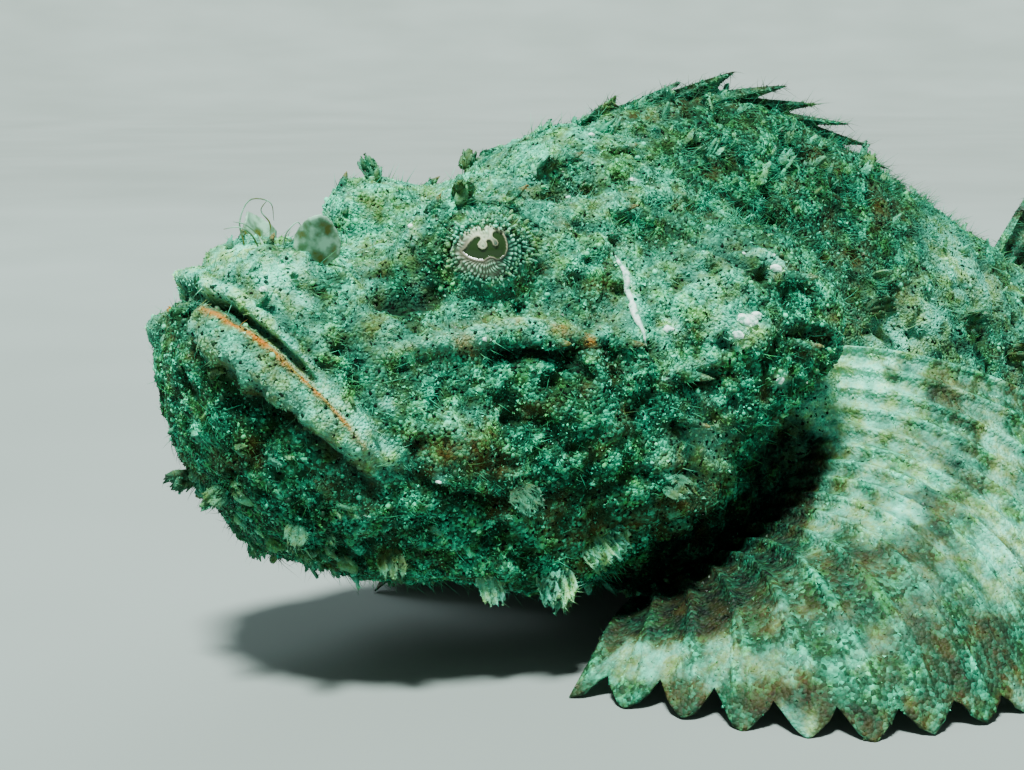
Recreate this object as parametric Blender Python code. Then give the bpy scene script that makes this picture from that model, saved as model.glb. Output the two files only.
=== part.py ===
"""A scorpionfish at life size, resting on the sea bed with its head raised.

The fish looks towards -X and its left side is at -Y. Stations s and sizes are in millimetres: s
runs back along the fish from its upper lip, y is outwards on either side, and heights are above
the floor. The body is made as clay, a loft with lumps, lips and ridges pressed onto it, which is
melted into one skin, thinned and parted with thin cuts. The fins are fans of rays on a membrane,
cut clear of the body. Last the tail is swung to one side and what lies under the floor is cut off.
"""

import math
import random

import bmesh
import bpy
import numpy as np
from mathutils import Euler, Matrix, Vector
from mathutils.bvhtree import BVHTree
from mathutils.geometry import tessellate_polygon

MM = 0.001
GAP = 0.3  # clear space between two pieces that meet
SIDES = {"left": -1, "right": 1}

# The outline of the body: (station, height) along the back and belly, and (station, half width).
BACK = (
    (-1.6, 41), (-0.8, 45.5), (1.6, 48.4), (7, 51), (14, 51.8), (24, 51.2), (32, 54), (38, 58), (44, 62.6),
    (56, 66.4), (70, 68.8), (84, 66.8), (98, 60.8), (118, 49.8), (140, 38), (158, 29.6), (167, 28), (172, 26.2),
    (175.5, 22.6),
)
BELLY = (
    (-1.6, 37), (-0.8, 32), (1.8, 25), (6, 18.5), (15, 13), (31, 9.5), (46, 8), (60, 3.6), (72, 0.3),
    (84, -0.7), (104, -0.8), (116, 0.4), (132, 6), (146, 10), (158, 12), (167, 12.4), (172, 13.8),
    (175.5, 17.4),
)
HALF_WIDTH = (
    (-1.6, 3.5), (-0.8, 7), (1.6, 11), (6, 14.2), (12, 17.2), (20, 19.8), (32, 22.2), (46, 23.2), (60, 20.6),
    (72, 17.4), (84, 17), (100, 16.4), (118, 12.8), (140, 8), (158, 4.6), (168, 3.1), (175.5, 1.6),
)
WIDEST = ((-3.6, 0.5), (10, 0.45), (40, 0.42), (80, 0.40), (120, 0.42), (174, 0.5))  # share of depth
TOP_POWER = ((-3.6, 2.2), (20, 2.4), (34, 2.3), (50, 1.9), (80, 1.75), (130, 1.8), (174, 2))
BOTTOM_POWER = ((-3.6, 2.2), (30, 2.4), (80, 2.5), (130, 2), (174, 2))
RING_POINTS, RINGS = 48, 70
CLAY_VOXEL = 1.0
HEAD_SPAN, TORSO_SPAN = (-1.6, 88), (30, 175.5)
HEAD_FACES, TORSO_FACES = 3700, 1400
BASE_PASSES, DETAIL_PASSES = 9, 3

EYE_CENTRE, EYE_RADIUS = (32.3, 14.2, 51.4), 4.7
EYE_LOOK = (-0.1, 0.97, 0.15)
NOSTRILS = ((15.4, 8.6, 51.2, 1.1), (21.4, 10.4, 50.6, 0.9))

# The mouth: the line where the lips meet, from the front to the corner, and how far it gapes there.
GAPE = (
    (-0.3, 0, 47.5), (0.8, 6, 46.5), (4.1, 11, 43.7), (8.3, 15, 39.2), (12.1, 18.5, 34.1), (15.9, 20.5, 28.9),
)
MOUTH_OPEN = (1.4, 1.3, 1.0, 0.7, 0.4, GAP)
JAW_REAR = ((19, 25), (24, 17.5), (33, -3))
# Side views of the cuts behind the gill cover and at the root of the tail.
GILL_EDGE = (
    (62, 80), (62, 62), (68, 56), (75, 50), (78.5, 43), (77, 36.5), (71.5, 32), (64.5, 28.6), (61, 24.4),
    (59, 20), (52, 14.5), (47, 9), (46, -5),
)
TAIL_ROOT = ((126, 80), (127, 40), (130, 20), (131, -5))

# The tail swings to the fish's right behind this station, by this angle over its length.
BEND_FROM, BEND_ANGLE, FISH_END = 96, math.radians(26), 216

RAY_TIP, MEMBRANE = 0.35, 0.3  # half thicknesses
PECTORAL_ROOT = ((57, 11, 4.8), (64.5, 14, 9.4), (73, 15, 16.5), (79, 16, 27), (80.5, 15.5, 37))
PECTORAL_TIPS = (
    (36.5, 26, -0.2), (41.5, 35, -0.2), (48.5, 46, -0.3), (58, 55, -0.3), (72, 57.5, -0.3), (88, 54, -0.3),
    (103, 46, 1), (115, 37, 9), (121, 28, 21),
)
PELVIC_ROOT = ((58, 10, 3.4), (68, 8, 1.6))
PELVIC_TIPS = ((74, 32, 0.3), (84, 32, 0.2), (92, 27, 0.2), (96, 21, 0.2))
SPINE_STATIONS = (50, 112)
SPINE_LENGTHS = (6.5, 10, 13.5, 15.5, 16, 15.5, 14.5, 13, 11.5, 10, 9, 9.5)
SPINE_LEAN = ((0, 3, 11), (15, 2, 6))  # spine number and degrees from the line of the back
SPINE_SINK = 1.7
SOFT_DORSAL = ((125, 42), (151, 30.6), (137, 56), (166, 38), 9)
ANAL = ((119, 1.6), (143, 9.4), (126, -0.3), (163, 4.5), 8)
TAIL_FAN = {"centre": 158, "height": 20, "root": 13, "reach": 58, "spread": math.radians(20), "rays": 12}


def clear_scene():
    for obj in list(bpy.data.objects):
        bpy.data.objects.remove(obj)


def along(points, at):
    """A smooth line through (station, value) points, read at one or more stations."""
    s, v = np.array(points, float).T
    slope = np.gradient(v, s)
    at = np.clip(np.asarray(at, float), s[0], s[-1])
    i = np.clip(np.searchsorted(s, at, side="right") - 1, 0, len(s) - 2)
    h = s[i + 1] - s[i]
    t = (at - s[i]) / h
    return (
        (2 * t**3 - 3 * t**2 + 1) * v[i] + (t**3 - 2 * t**2 + t) * h * slope[i]
        + (3 * t**2 - 2 * t**3) * v[i + 1] + (t**3 - t**2) * h * slope[i + 1]
    )


def path_points(points, count):
    """Points at even spacing on a smooth curve through the given ones."""
    p = np.array(points, float)
    length = np.concatenate([[0], np.cumsum(np.linalg.norm(np.diff(p, axis=0), axis=1))])
    at = np.linspace(0, length[-1], count)
    return np.stack([along(np.stack([length, p[:, k]], 1), at) for k in range(3)], 1)


def mirrored(points, side):
    """Points written with y outwards, placed on a side."""
    return [(x, y * SIDES[side], z) for x, y, z in points]


def new_object(name, mesh):
    obj = bpy.data.objects.new(name, mesh)
    bpy.context.scene.collection.objects.link(obj)
    return obj


def mesh_from(name, points, faces):
    """A mesh in metres from millimetre points, with its faces turned outwards."""
    mesh = bpy.data.meshes.new(name)
    mesh.from_pydata([tuple(float(c) * MM for c in p) for p in points], [], faces)
    bm = bmesh.new()
    bm.from_mesh(mesh)
    bmesh.ops.recalc_face_normals(bm, faces=bm.faces)
    bm.to_mesh(mesh)
    bm.free()
    return mesh


def tube_faces(rings, size):
    """Faces of a closed tube through rings of the same size, with flat ends."""
    faces = []
    for i in range(rings - 1):
        for k in range(size):
            m = (k + 1) % size
            faces.append((i * size + k, i * size + m, (i + 1) * size + m, (i + 1) * size + k))
    faces.append(tuple(range(size))[::-1])
    faces.append(tuple(range((rings - 1) * size, rings * size)))
    return faces


def body_ring(s):
    """The outline of the body at a station."""
    top, low, wide = along(BACK, s), along(BELLY, s), along(HALF_WIDTH, s)
    middle = low + (top - low) * along(WIDEST, s)
    ring = []
    for k in range(RING_POINTS):
        a = 2 * math.pi * k / RING_POINTS
        upper = math.sin(a) >= 0
        power = along(TOP_POWER if upper else BOTTOM_POWER, s)
        y = wide * math.copysign(abs(math.cos(a)) ** (2 / power), math.cos(a))
        rise = abs(math.sin(a)) ** (2 / power) * ((top - middle) if upper else (low - middle))
        ring.append((s, y, middle + rise))
    return ring


def trunk(front, end):
    share = np.linspace(0, 1, RINGS) ** 1.35  # closer rings at the blunt front
    points = [p for s in front + (end - front) * share for p in body_ring(s)]
    return new_object("trunk", mesh_from("trunk", points, tube_faces(RINGS, RING_POINTS)))


def lump(centre, radii, turn=(0, 0, 0), rings=12):
    """An ellipsoid of clay."""
    bm = bmesh.new()
    bmesh.ops.create_uvsphere(bm, u_segments=2 * rings, v_segments=rings, radius=1)
    bm.transform(
        Matrix.Translation(Vector(centre) * MM)
        @ Euler([math.radians(t) for t in turn]).to_matrix().to_4x4()
        @ Matrix.Diagonal([r * MM for r in radii] + [1])
    )
    mesh = bpy.data.meshes.new("lump")
    bm.to_mesh(mesh)
    bm.free()
    return new_object("lump", mesh)


def skin_tree(obj):
    """A search tree of the object's faces, in millimetres."""
    return BVHTree.FromPolygons(
        [v.co / MM for v in obj.data.vertices], [tuple(p.vertices) for p in obj.data.polygons]
    )


def rope(points, radii, tree=None, lift=0, sides=10, count=None):
    """A tube through the points whose radius runs through the given radii.

    With a tree the tube is laid on that skin, and sunk until it stands out by the lift.
    """
    count = count or 4 * len(points)
    line = path_points(points, count)
    sizes = np.interp(np.linspace(0, 1, count), np.linspace(0, 1, len(radii)), radii).tolist()
    if tree:
        rise = lift * np.array(sizes) / max(sizes)
        for i, size in enumerate(sizes):
            place, normal = tree.find_nearest(Vector(line[i]))[:2]
            line[i] = place + normal * (rise[i] - size)
    ring_points = []
    for i, (p, r) in enumerate(zip(line, sizes)):
        ahead = Vector(line[min(i + 1, count - 1)] - line[max(i - 1, 0)]).normalized()
        across = ahead.cross(Vector((0, 0, 1))).normalized()
        up = across.cross(ahead)
        for k in range(sides):
            a = 2 * math.pi * k / sides
            ring_points.append(Vector(p) + r * (math.cos(a) * across + math.sin(a) * up))
    return new_object("rope", mesh_from("rope", ring_points, tube_faces(count, sides)))


# Mounds of the head, as centre, radii and turn in degrees.
HEAD_MOUNDS = (
    ((33.2, 9.8, 50.4), (10.0, 7.4, 8.0), (0, 0, 0)),  # eye socket and brow
    ((11.5, 4.6, 47.2), (8.5, 6, 6.0), (0, 0, 0)),  # nose, over the stalk of the upper jaw
    ((48, 17.5, 32), (18, 8.6, 15), (0, 0, 0)),  # cheek muscle
    ((66, 17.6, 38), (19, 10, 16), (0, 0, 0)),  # gill cover
    ((56, 16.5, 23), (15, 8.6, 10), (0, 25, 0)),  # lower edge of the gill cover
    ((39, 14.5, 16), (16, 6.4, 6.4), (0, 6, 0)),  # gill rays under the cheek
)
TORSO_MOUNDS = (((82, 12.5, 27), (7.5, 6.6, 13), (0, 8, 0)),)  # fleshy root of the pectoral fin
JAW_BONE_END = ((26.2, 19.4, 28.4), (7.6, 3.2, 6.6), (0, -30, 0))
# Bony ridges and folds laid on them, as points, radii and how far they stand out.
HEAD_RIDGES = (
    (((19, 18, 44.2), (28, 20.8, 42.8), (36, 23.6, 42), (44, 25.6, 41.6)), (0.6, 1.7, 1.9, 0.9), 1.6),
    (((45, 24.6, 42.5), (50.5, 26, 38), (52.5, 26.6, 30), (48, 24.6, 22), (41, 21, 18)),
     (0.6, 1.6, 1.8, 1.5, 0.6), 1.2),
    (((54, 21, 52), (62, 23.8, 49.5), (72, 25.4, 46.8)), (0.7, 1.6, 1.3), 1.2),
    (((54, 24, 44.5), (62, 27, 41), (72, 26.8, 39)), (0.7, 1.7, 1.3), 1.2),
    (((37, 9.5, 57), (44, 9.4, 60.6), (53, 9.6, 62.6)), (0.8, 1.8, 0.9), 1.1),
    (((41, 15.2, 54), (51, 16.8, 56), (63, 17, 55)), (0.8, 1.6, 0.8), 1.1),
    (((15, 8.6, 50.4), (20, 8.6, 51.6), (26, 8.6, 54)), (0.6, 1.3, 0.9), 0.7),
    (((24, 10, 57), (30, 12, 58.6), (37, 12.5, 57.6)), (0.6, 1.4, 0.8), 0.7),
    (((6, 14.6, 46.4), (11, 17.4, 42), (16, 19.6, 36.6), (20, 21, 31)), (0.5, 1.2, 1.3, 1.2), 0.9),
    (((40, 20, 13.5), (50, 21, 15.5), (58, 23, 19.6), (64, 25, 25.4)), (0.6, 1.4, 1.6, 1.2), 1.1),
    (((46, 22, 18.5), (54, 23.6, 20.5), (60, 25, 25.4)), (0.5, 1.2, 0.9), 0.8),
    (((8, 12.5, 32), (14, 16.6, 26), (21, 18.2, 19.6)), (0.7, 1.6, 0.8), 0.8),
)


def orbit(side):
    """Points round the eye, where the rim of its socket goes."""
    look = Vector(EYE_LOOK).normalized()
    ahead = look.cross(Vector((0, 0, 1))).normalized()
    up = ahead.cross(look)
    ring = []
    for k in range(13):
        a = 2 * math.pi * k / 12
        ring.append(Vector(EYE_CENTRE) + 5.7 * (math.cos(a) * ahead + math.sin(a) * up) + 1.5 * look)
    return mirrored([tuple(p) for p in ring], side)


def lips(tree):
    """The two lips, each one rope laid round the front of the mouth from corner to corner."""
    line = path_points(mirrored(GAPE, "left")[::-1] + mirrored(GAPE, "right")[1:], 31)
    ropes = []
    for aside, radii, lift in ((1, (1.4, 2.5, 1.9, 2.5, 1.4), 2.1), (-1, (1.9, 3.0, 1.8, 3.0, 1.9), 2.5)):
        centre = []
        sizes = np.interp(np.linspace(0, 1, len(line)), np.linspace(0, 1, len(radii)), radii)
        for i, size in enumerate(sizes.tolist()):
            place, normal = tree.find_nearest(Vector(line[i]))[:2]
            tangent = Vector(line[min(i + 1, 30)] - line[max(i - 1, 0)]).normalized()
            across = normal.cross(tangent)
            across *= aside * math.copysign(1.05 * size, across.z)
            centre.append(tuple(place + across))
        ropes.append(rope(centre, radii, tree, lift, count=44))
    return ropes


def baked(obj, name=None):
    """The object with its modifiers applied, as a new object in its place."""
    graph = bpy.context.evaluated_depsgraph_get()
    mesh = bpy.data.meshes.new_from_object(obj.evaluated_get(graph))
    name = name or obj.name
    bpy.data.objects.remove(obj)
    return new_object(name, mesh)


def copied(obj, name):
    return new_object(name, obj.data.copy())


def joined(objects, name):
    """One mesh object that holds the meshes of several."""
    bm = bmesh.new()
    for obj in objects:
        bm.from_mesh(obj.data)
        bpy.data.objects.remove(obj)
    mesh = bpy.data.meshes.new(name)
    bm.to_mesh(mesh)
    bm.free()
    return new_object(name, mesh)


def melted(objects, passes):
    """Clay pieces melted into one smooth closed skin."""
    skin = joined(objects, "skin")
    remesh = skin.modifiers.new("Melt", "REMESH")
    remesh.mode = "VOXEL"
    remesh.voxel_size = CLAY_VOXEL * MM
    smooth = skin.modifiers.new("Smooth", "SMOOTH")
    smooth.factor = 0.5
    smooth.iterations = passes
    return baked(skin)


def thinned(skin, faces):
    """The skin with about so many faces left, fewest where it is flattest."""
    thin = skin.modifiers.new("Thin", "DECIMATE")
    thin.ratio = faces / (2 * len(skin.data.polygons))
    return baked(skin)


def head_skin():
    clay = [trunk(*HEAD_SPAN)]
    for side in SIDES:
        clay += [lump(mirrored([c], side)[0], radii, turn) for c, radii, turn in HEAD_MOUNDS]
    base = melted(clay, BASE_PASSES)
    tree = skin_tree(base)
    clay = [base] + lips(tree)
    for side in SIDES:
        clay += [rope(mirrored(points, side), radii, tree, lift) for points, radii, lift in HEAD_RIDGES]
        clay.append(rope(orbit(side), (1.1, 1.2, 1.1), tree, 0.8, count=36))
        centre, radii, turn = JAW_BONE_END
        clay.append(lump(mirrored([centre], side)[0], radii, turn))
    return thinned(melted(clay, DETAIL_PASSES), HEAD_FACES)


def torso_skin():
    clay = [trunk(*TORSO_SPAN)]
    for side in SIDES:
        clay += [lump(mirrored([c], side)[0], radii, turn) for c, radii, turn in TORSO_MOUNDS]
    return thinned(melted(clay, BASE_PASSES), TORSO_FACES)


def largest_piece(obj):
    """Drops every closed surface of the object but the one with the largest volume."""
    bm = bmesh.new()
    bm.from_mesh(obj.data)
    bmesh.ops.triangulate(bm, faces=bm.faces)
    left, best = set(bm.faces), (0, set())
    while left:
        piece, front = set(), [next(iter(left))]
        while front:
            face = front.pop()
            if face in piece:
                continue
            piece.add(face)
            front += [f for e in face.edges for f in e.link_faces if f not in piece]
        left -= piece
        volume = sum(f.verts[0].co.dot(f.verts[1].co.cross(f.verts[2].co)) for f in piece)
        best = max(best, (abs(volume), piece), key=lambda b: b[0])
    bmesh.ops.delete(bm, geom=[f for f in bm.faces if f not in best[1]], context="FACES")
    bm.to_mesh(obj.data)
    bm.free()
    return obj


def combined(obj, operation, others, solver="EXACT"):
    """The object with one Boolean against other objects, which are then removed."""
    tools = bpy.data.collections.new("tools")
    for other in others:
        tools.objects.link(other)
    change = obj.modifiers.new("Combine", "BOOLEAN")
    change.operation = operation
    change.operand_type = "COLLECTION"
    change.collection = tools
    change.solver = solver
    done = baked(obj)
    for other in others:
        bpy.data.objects.remove(other)
    bpy.data.collections.remove(tools)
    return largest_piece(done)


def prism(outline, half_width=60):
    """A side view outline, as (station, height) points, drawn out across the fish."""
    size = len(outline)
    points = [(s, y, z) for y in (-half_width, half_width) for s, z in outline]
    faces = [tuple(range(size)), tuple(range(size, 2 * size))[::-1]]
    faces += [(k, (k + 1) % size, size + (k + 1) % size, size + k) for k in range(size)]
    return new_object("cutter", mesh_from("cutter", points, faces))


def moved_aside(line, amounts):
    """A side view line with each point moved square to the line, to its left, by an amount."""
    p = np.array(line, float)
    tangent = np.gradient(p, axis=0)
    tangent /= np.linalg.norm(tangent, axis=1)[:, None]
    return [tuple(q) for q in p + np.stack([-tangent[:, 1], tangent[:, 0]], 1) * np.array(amounts)[:, None]]


def parted(front_skin, rear_skin):
    """The two skins cut into head, lower jaw, torso and tail."""
    gape = [(s, z) for s, _, z in GAPE]
    jaw_line = [(-12, 51)] + gape + list(JAW_REAR)
    below = [(JAW_REAR[-1][0], -20), (-12, -20)]
    open_by = [MOUTH_OPEN[0]] + list(MOUTH_OPEN) + [GAP] * len(JAW_REAR)
    jaw = combined(copied(front_skin, "lower_jaw"), "INTERSECT", [prism(jaw_line + below)])
    head_side = moved_aside(jaw_line, open_by)
    below = [(head_side[-1][0], -20), (-12, -20)]
    front = list(GILL_EDGE) + [(-20, -5), (-20, 80)]
    head = combined(copied(front_skin, "head"), "DIFFERENCE", [prism(head_side + below)])
    head = combined(head, "INTERSECT", [prism(front)])
    gill = moved_aside(GILL_EDGE, [GAP] * len(GILL_EDGE))
    root = list(TAIL_ROOT)
    torso = combined(copied(rear_skin, "torso"), "INTERSECT", [prism(gill + root[::-1])])
    rear = moved_aside(TAIL_ROOT, [GAP] * len(TAIL_ROOT))
    tail = combined(copied(rear_skin, "tail"), "INTERSECT", [prism(rear + [(190, -5), (190, 80)])])
    return {"head": head, "lower_jaw": jaw, "torso": torso, "tail": tail}


def swollen(skin, by):
    """A copy of the skin moved outwards."""
    copy = copied(skin, "swollen")
    bm = bmesh.new()
    bm.from_mesh(copy.data)
    bm.normal_update()
    moves = [(v, v.normal * by * MM) for v in bm.verts]
    for v, move in moves:
        v.co += move
    bm.to_mesh(copy.data)
    bm.free()
    return copy


def ray_lines(roots, tips, bulge, rows):
    """For each ray, points from its root to its tip, bowed by the bulge vector."""
    lines = []
    for root, tip in zip(roots, tips):
        v = np.linspace(0, 1, rows)[:, None]
        lines.append(root + (tip - root) * v + np.array(bulge) * (4 * v * (1 - v)))
    return lines


def fan(name, lines, ray_size, notch):
    """A closed fin: rays as ridges and, between each two, membrane that stops short of their tips.

    lines holds the points of each ray, ray_size its half thickness at the root, and notch the share
    of the length that each membrane lacks. Both faces are split into triangles alike.
    """
    rows, columns = len(lines[0]), []
    down = np.linspace(0, 1, rows)
    for i, line in enumerate(lines):
        columns.append((line, ray_size[i] + (RAY_TIP - ray_size[i]) * down**1.3))
        if i + 1 < len(lines):
            at = down * (1 - notch[i])
            halves = [
                np.stack([np.interp(at, down, ray[:, k]) for k in range(3)], 1)
                for ray in (line, lines[i + 1])
            ]
            columns.append(((halves[0] + halves[1]) / 2, np.full(rows, MEMBRANE)))
    grid = np.stack([c[0] for c in columns])
    thick = np.stack([c[1] for c in columns])
    across, lengthwise = np.gradient(grid, axis=0), np.gradient(grid, axis=1)
    normal = np.cross(across, lengthwise)
    normal /= np.linalg.norm(normal, axis=2)[:, :, None]
    for _ in range(2):  # neighbours share their direction, so that ridges don't lean
        normal[1:-1] = (normal[:-2] + normal[1:-1] + normal[2:]) / 3
    normal /= np.linalg.norm(normal, axis=2)[:, :, None]
    wide = len(columns)
    points = [*(grid + normal * thick[:, :, None]).reshape(-1, 3)]
    points += [*(grid - normal * thick[:, :, None]).reshape(-1, 3)]
    faces, other = [], wide * rows
    for i in range(wide - 1):
        for j in range(rows - 1):
            a, b, c, d = i * rows + j, (i + 1) * rows + j, (i + 1) * rows + j + 1, i * rows + j + 1
            # The diagonal runs alike on both faces.
            for tri in ((a, b, c), (a, c, d)):
                faces += [tri, tuple(k + other for k in reversed(tri))]
    rim = [i * rows for i in range(wide)] + [(wide - 1) * rows + j for j in range(1, rows)]
    rim += [i * rows + rows - 1 for i in range(wide - 2, -1, -1)] + list(range(rows - 2, 0, -1))
    for k, a in enumerate(rim):
        b = rim[(k + 1) % len(rim)]
        faces += [(a, b, b + other), (a, b + other, a + other)]
    return new_object(name, mesh_from(name, points, faces))


def pectoral_fin(side):
    """The broad fin propped on the floor: seventeen rays, the lowest thick with free tips."""
    rays = 17
    roots = path_points(mirrored(PECTORAL_ROOT, side), rays)
    tips = path_points(mirrored(PECTORAL_TIPS, side), rays)
    lines = []
    for k, line in enumerate(ray_lines(roots, tips, (0, 0, 0), 9)):
        share = k / (rays - 1)
        v = np.linspace(0, 1, 9)
        bow = 4 * v * (1 - v)
        line[:, 2] += bow * (3.5 + 5.5 * math.sin(math.pi * share))
        line[:, 1] += SIDES[side] * bow * (1.5 + 2.5 * math.sin(math.pi * share))
        lines.append(line)
    size = [0.95 - 0.25 * min(1, k / 8) for k in range(rays)]
    notch = [0.12 - 0.08 * min(1, k / 8) for k in range(rays - 1)]
    return fan(f"pectoral_fin_{side}", lines, size, notch)


def pelvic_fin(side):
    roots = path_points(mirrored(PELVIC_ROOT, side), 6)
    tips = path_points(mirrored(PELVIC_TIPS, side), 6)
    lines = ray_lines(roots, tips, (0, 0, 0.5), 6)
    return fan(f"pelvic_fin_{side}", lines, [1.1, 0.9, 0.9, 0.9, 0.9, 0.8], [0.2, 0.12, 0.1, 0.1, 0.12])


def spiny_dorsal_fin():
    """Twelve stout spines that lean back over the hump, with deeply notched skin between them."""
    lines = []
    for k, length in enumerate(SPINE_LENGTHS):
        s = np.interp(k, (0, len(SPINE_LENGTHS) - 1), SPINE_STATIONS)
        slope = math.atan2(float(along(BACK, s + 2) - along(BACK, s - 2)), 4)
        angle = slope + math.radians(np.interp(k, *SPINE_LEAN))
        ahead = np.array((math.cos(angle), 0, math.sin(angle)))
        down = np.array((math.sin(slope), 0, -math.cos(slope)))
        root = np.array((s, 0, float(along(BACK, s)))) + SPINE_SINK * down
        v = np.linspace(0, 1, 6)[:, None]
        sway = 0.5 * (-1) ** k  # neighbours lean a little to either side
        lines.append(root + ahead * (length + 4) * v + np.array((0, sway, 0)) * v)
    size = [1.25] * len(lines)
    return fan("dorsal_fin_spiny", lines, size, [0.36] * (len(lines) - 1))


def soft_fin(name, first_root, last_root, first_tip, last_tip, rays, arch, lay=0):
    """A soft fin on the middle line, its rays spread evenly from its first to its last."""
    q = np.linspace(0, 1, rays)[:, None]

    def row(a, b):
        return np.array((a[0], 0, a[1])) * (1 - q) + np.array((b[0], 0, b[1])) * q

    roots, tips = row(first_root, last_root), row(first_tip, last_tip)
    tips += np.array(arch) * np.sin(math.pi * q)
    tips[:, 1] += lay * np.sin(math.pi * q[:, 0])
    return fan(name, ray_lines(roots, tips, (0, lay * 0.2, 0), 6), [0.9] * rays, [0.08] * (rays - 1))


def tail_fin():
    t = TAIL_FAN
    roots, tips = [], []
    for q in np.linspace(-1, 1, t["rays"]):
        a = q * t["spread"]
        reach = t["reach"] * (1 - 0.06 * q * q)
        roots.append(np.array((t["centre"] + t["root"], 0, t["height"] + q * 6)))
        tips.append(np.array((t["centre"] + reach * math.cos(a), 0, t["height"] + reach * math.sin(a))))
    return fan("tail_fin", ray_lines(roots, tips, (0, 0, 0), 7), [1.0] * t["rays"], [0.05] * (t["rays"] - 1))


def eye(side):
    ball = lump(mirrored([EYE_CENTRE], side)[0], [EYE_RADIUS] * 3, (90, 0, 0), rings=10)
    ball.name = f"eye_{side}"
    return ball


def tassel(root, direction, facing, length, width, lobes=3):
    """A flap of skin: a narrow root that widens and ends in pointed lobes, thinner at its tips."""
    ahead = Vector(direction).normalized()
    across = ahead.cross(Vector(facing)).normalized()
    flat = across.cross(ahead)
    edge = [(-0.24, 0), (-0.34, 0.35), (-0.5, 0.7)]
    for k in range(lobes):
        x = -0.5 + (k + 0.5) / lobes
        edge.append((x, 1.0 - 0.16 * abs(x)))
        if k < lobes - 1:
            edge.append((x + 0.5 / lobes, 0.68))
    edge += [(0.5, 0.7), (0.34, 0.35), (0.24, 0)]
    points = []
    for face in (1, -1):
        for x, v in edge:
            off = face * (0.5 - 0.25 * v) + 0.12 * length * v * v
            points.append(Vector(root) + across * x * width + ahead * v * length + flat * off)
    size = len(edge)
    faces = []
    for tri in tessellate_polygon([[Vector((x * width, v * length, 0)) for x, v in edge]]):
        faces += [tuple(tri), tuple(k + size for k in reversed(tri))]
    for k in range(size):
        m = (k + 1) % size
        faces += [(k, m, m + size), (k, m + size, k + size)]
    return new_object("tassel", mesh_from("tassel", points, faces))


# Flaps of skin on each side: the node, about where, direction, length, width and lobes.
TASSELS = (
    ("head", (30.5, 16.5, 12.5), (0.1, 0.25, -1), 5.0, 3.0, 2),
    ("lower_jaw", (19, 15, 15), (-0.2, 0.4, -1), 4.2, 3.0, 2),
    ("lower_jaw", (9, 12, 18.5), (-0.6, 0.5, -1), 4.0, 2.6, 2),
    ("lower_jaw", (2.5, 5, 24.5), (-1, 0.3, -0.7), 3.6, 2.4, 2),
    ("head", (37.5, 17.5, 12.5), (0.1, 0.3, -1), 5.6, 5.0, 3),
    ("head", (44.5, 20, 14.5), (0.4, 0.5, -0.8), 4.4, 6.4, 4),
    ("head", (13.0, 8.0, 51.6), (-0.1, 0.35, 1), 4.6, 4.2, 2),
    ("head", (30.5, 11.5, 59), (-0.1, 0.4, 1), 3.2, 2.6, 2),
    ("head", (31.5, 23, 24.5), (0.6, 0.7, -1), 4.0, 3.6, 3),
    ("head", (51, 26, 24), (0.5, 0.9, -0.7), 3.6, 3.4, 3),
    ("head", (42, 10, 61), (0.3, 0.3, 1), 3.0, 2.4, 2),
    ("torso", (90, 20, 42), (0.9, 0.7, 0.5), 4.0, 3.0, 2),
    ("torso", (98, 18, 32), (0.9, 0.8, 0.1), 4.0, 3.0, 2),
    ("torso", (108, 14.5, 38), (0.9, 0.8, 0.3), 3.8, 2.8, 2),
    ("torso", (119, 11.5, 32), (0.9, 0.8, 0.2), 3.6, 2.6, 2),
    ("tail", (140, 7.5, 27), (0.9, 0.8, 0.3), 3.4, 2.4, 2),
)
# Bony spines on each side of the head: about where, direction, and how far they stick out.
HEAD_SPINES = (
    ((9.5, 4.6, 53), (0.2, 0.2, 1), 1.6), ((26, 11, 58), (0.3, 0.3, 1), 2.0), ((37.5, 11.5, 58), (0.8, 0.2, 0.7), 2.6),
    ((46, 9.6, 61.5), (0.9, 0.2, 0.5), 2.6), ((54, 9.8, 63.5), (0.9, 0.2, 0.35), 2.6),
    ((50, 17, 56), (0.9, 0.3, 0.35), 2.4), ((44.5, 25.6, 41.6), (0.9, 0.6, -0.05), 3.0),
    ((36, 23.6, 42), (0.7, 0.8, 0), 2.0), ((52.5, 26.4, 36.5), (0.9, 0.6, -0.1), 3.6),
    ((53, 26.6, 31), (0.9, 0.6, -0.3), 2.8), ((50, 25, 25), (0.7, 0.6, -0.6), 2.4),
    ((68.5, 25.4, 47.4), (0.8, 0.7, 0.1), 3.0), ((68.5, 27, 39.6), (0.8, 0.7, 0), 3.0),
)


def spike(root, direction, length):
    """A pointed bony spine whose base is sunk in the skin."""
    ahead = Vector(direction).normalized()
    across = ahead.orthogonal().normalized()
    up = ahead.cross(across)
    points = [Vector(root) + ahead * length]
    for k in range(6):
        a = 2 * math.pi * k / 6
        ring = math.cos(a) * across + math.sin(a) * up
        points.append(Vector(root) - ahead * 1.2 + ring * (0.5 + 0.3 * length))
    faces = [(0, k, k % 6 + 1) for k in range(1, 7)] + [tuple(range(1, 7))[::-1]]
    return new_object("spike", mesh_from("spike", points, faces))


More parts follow.
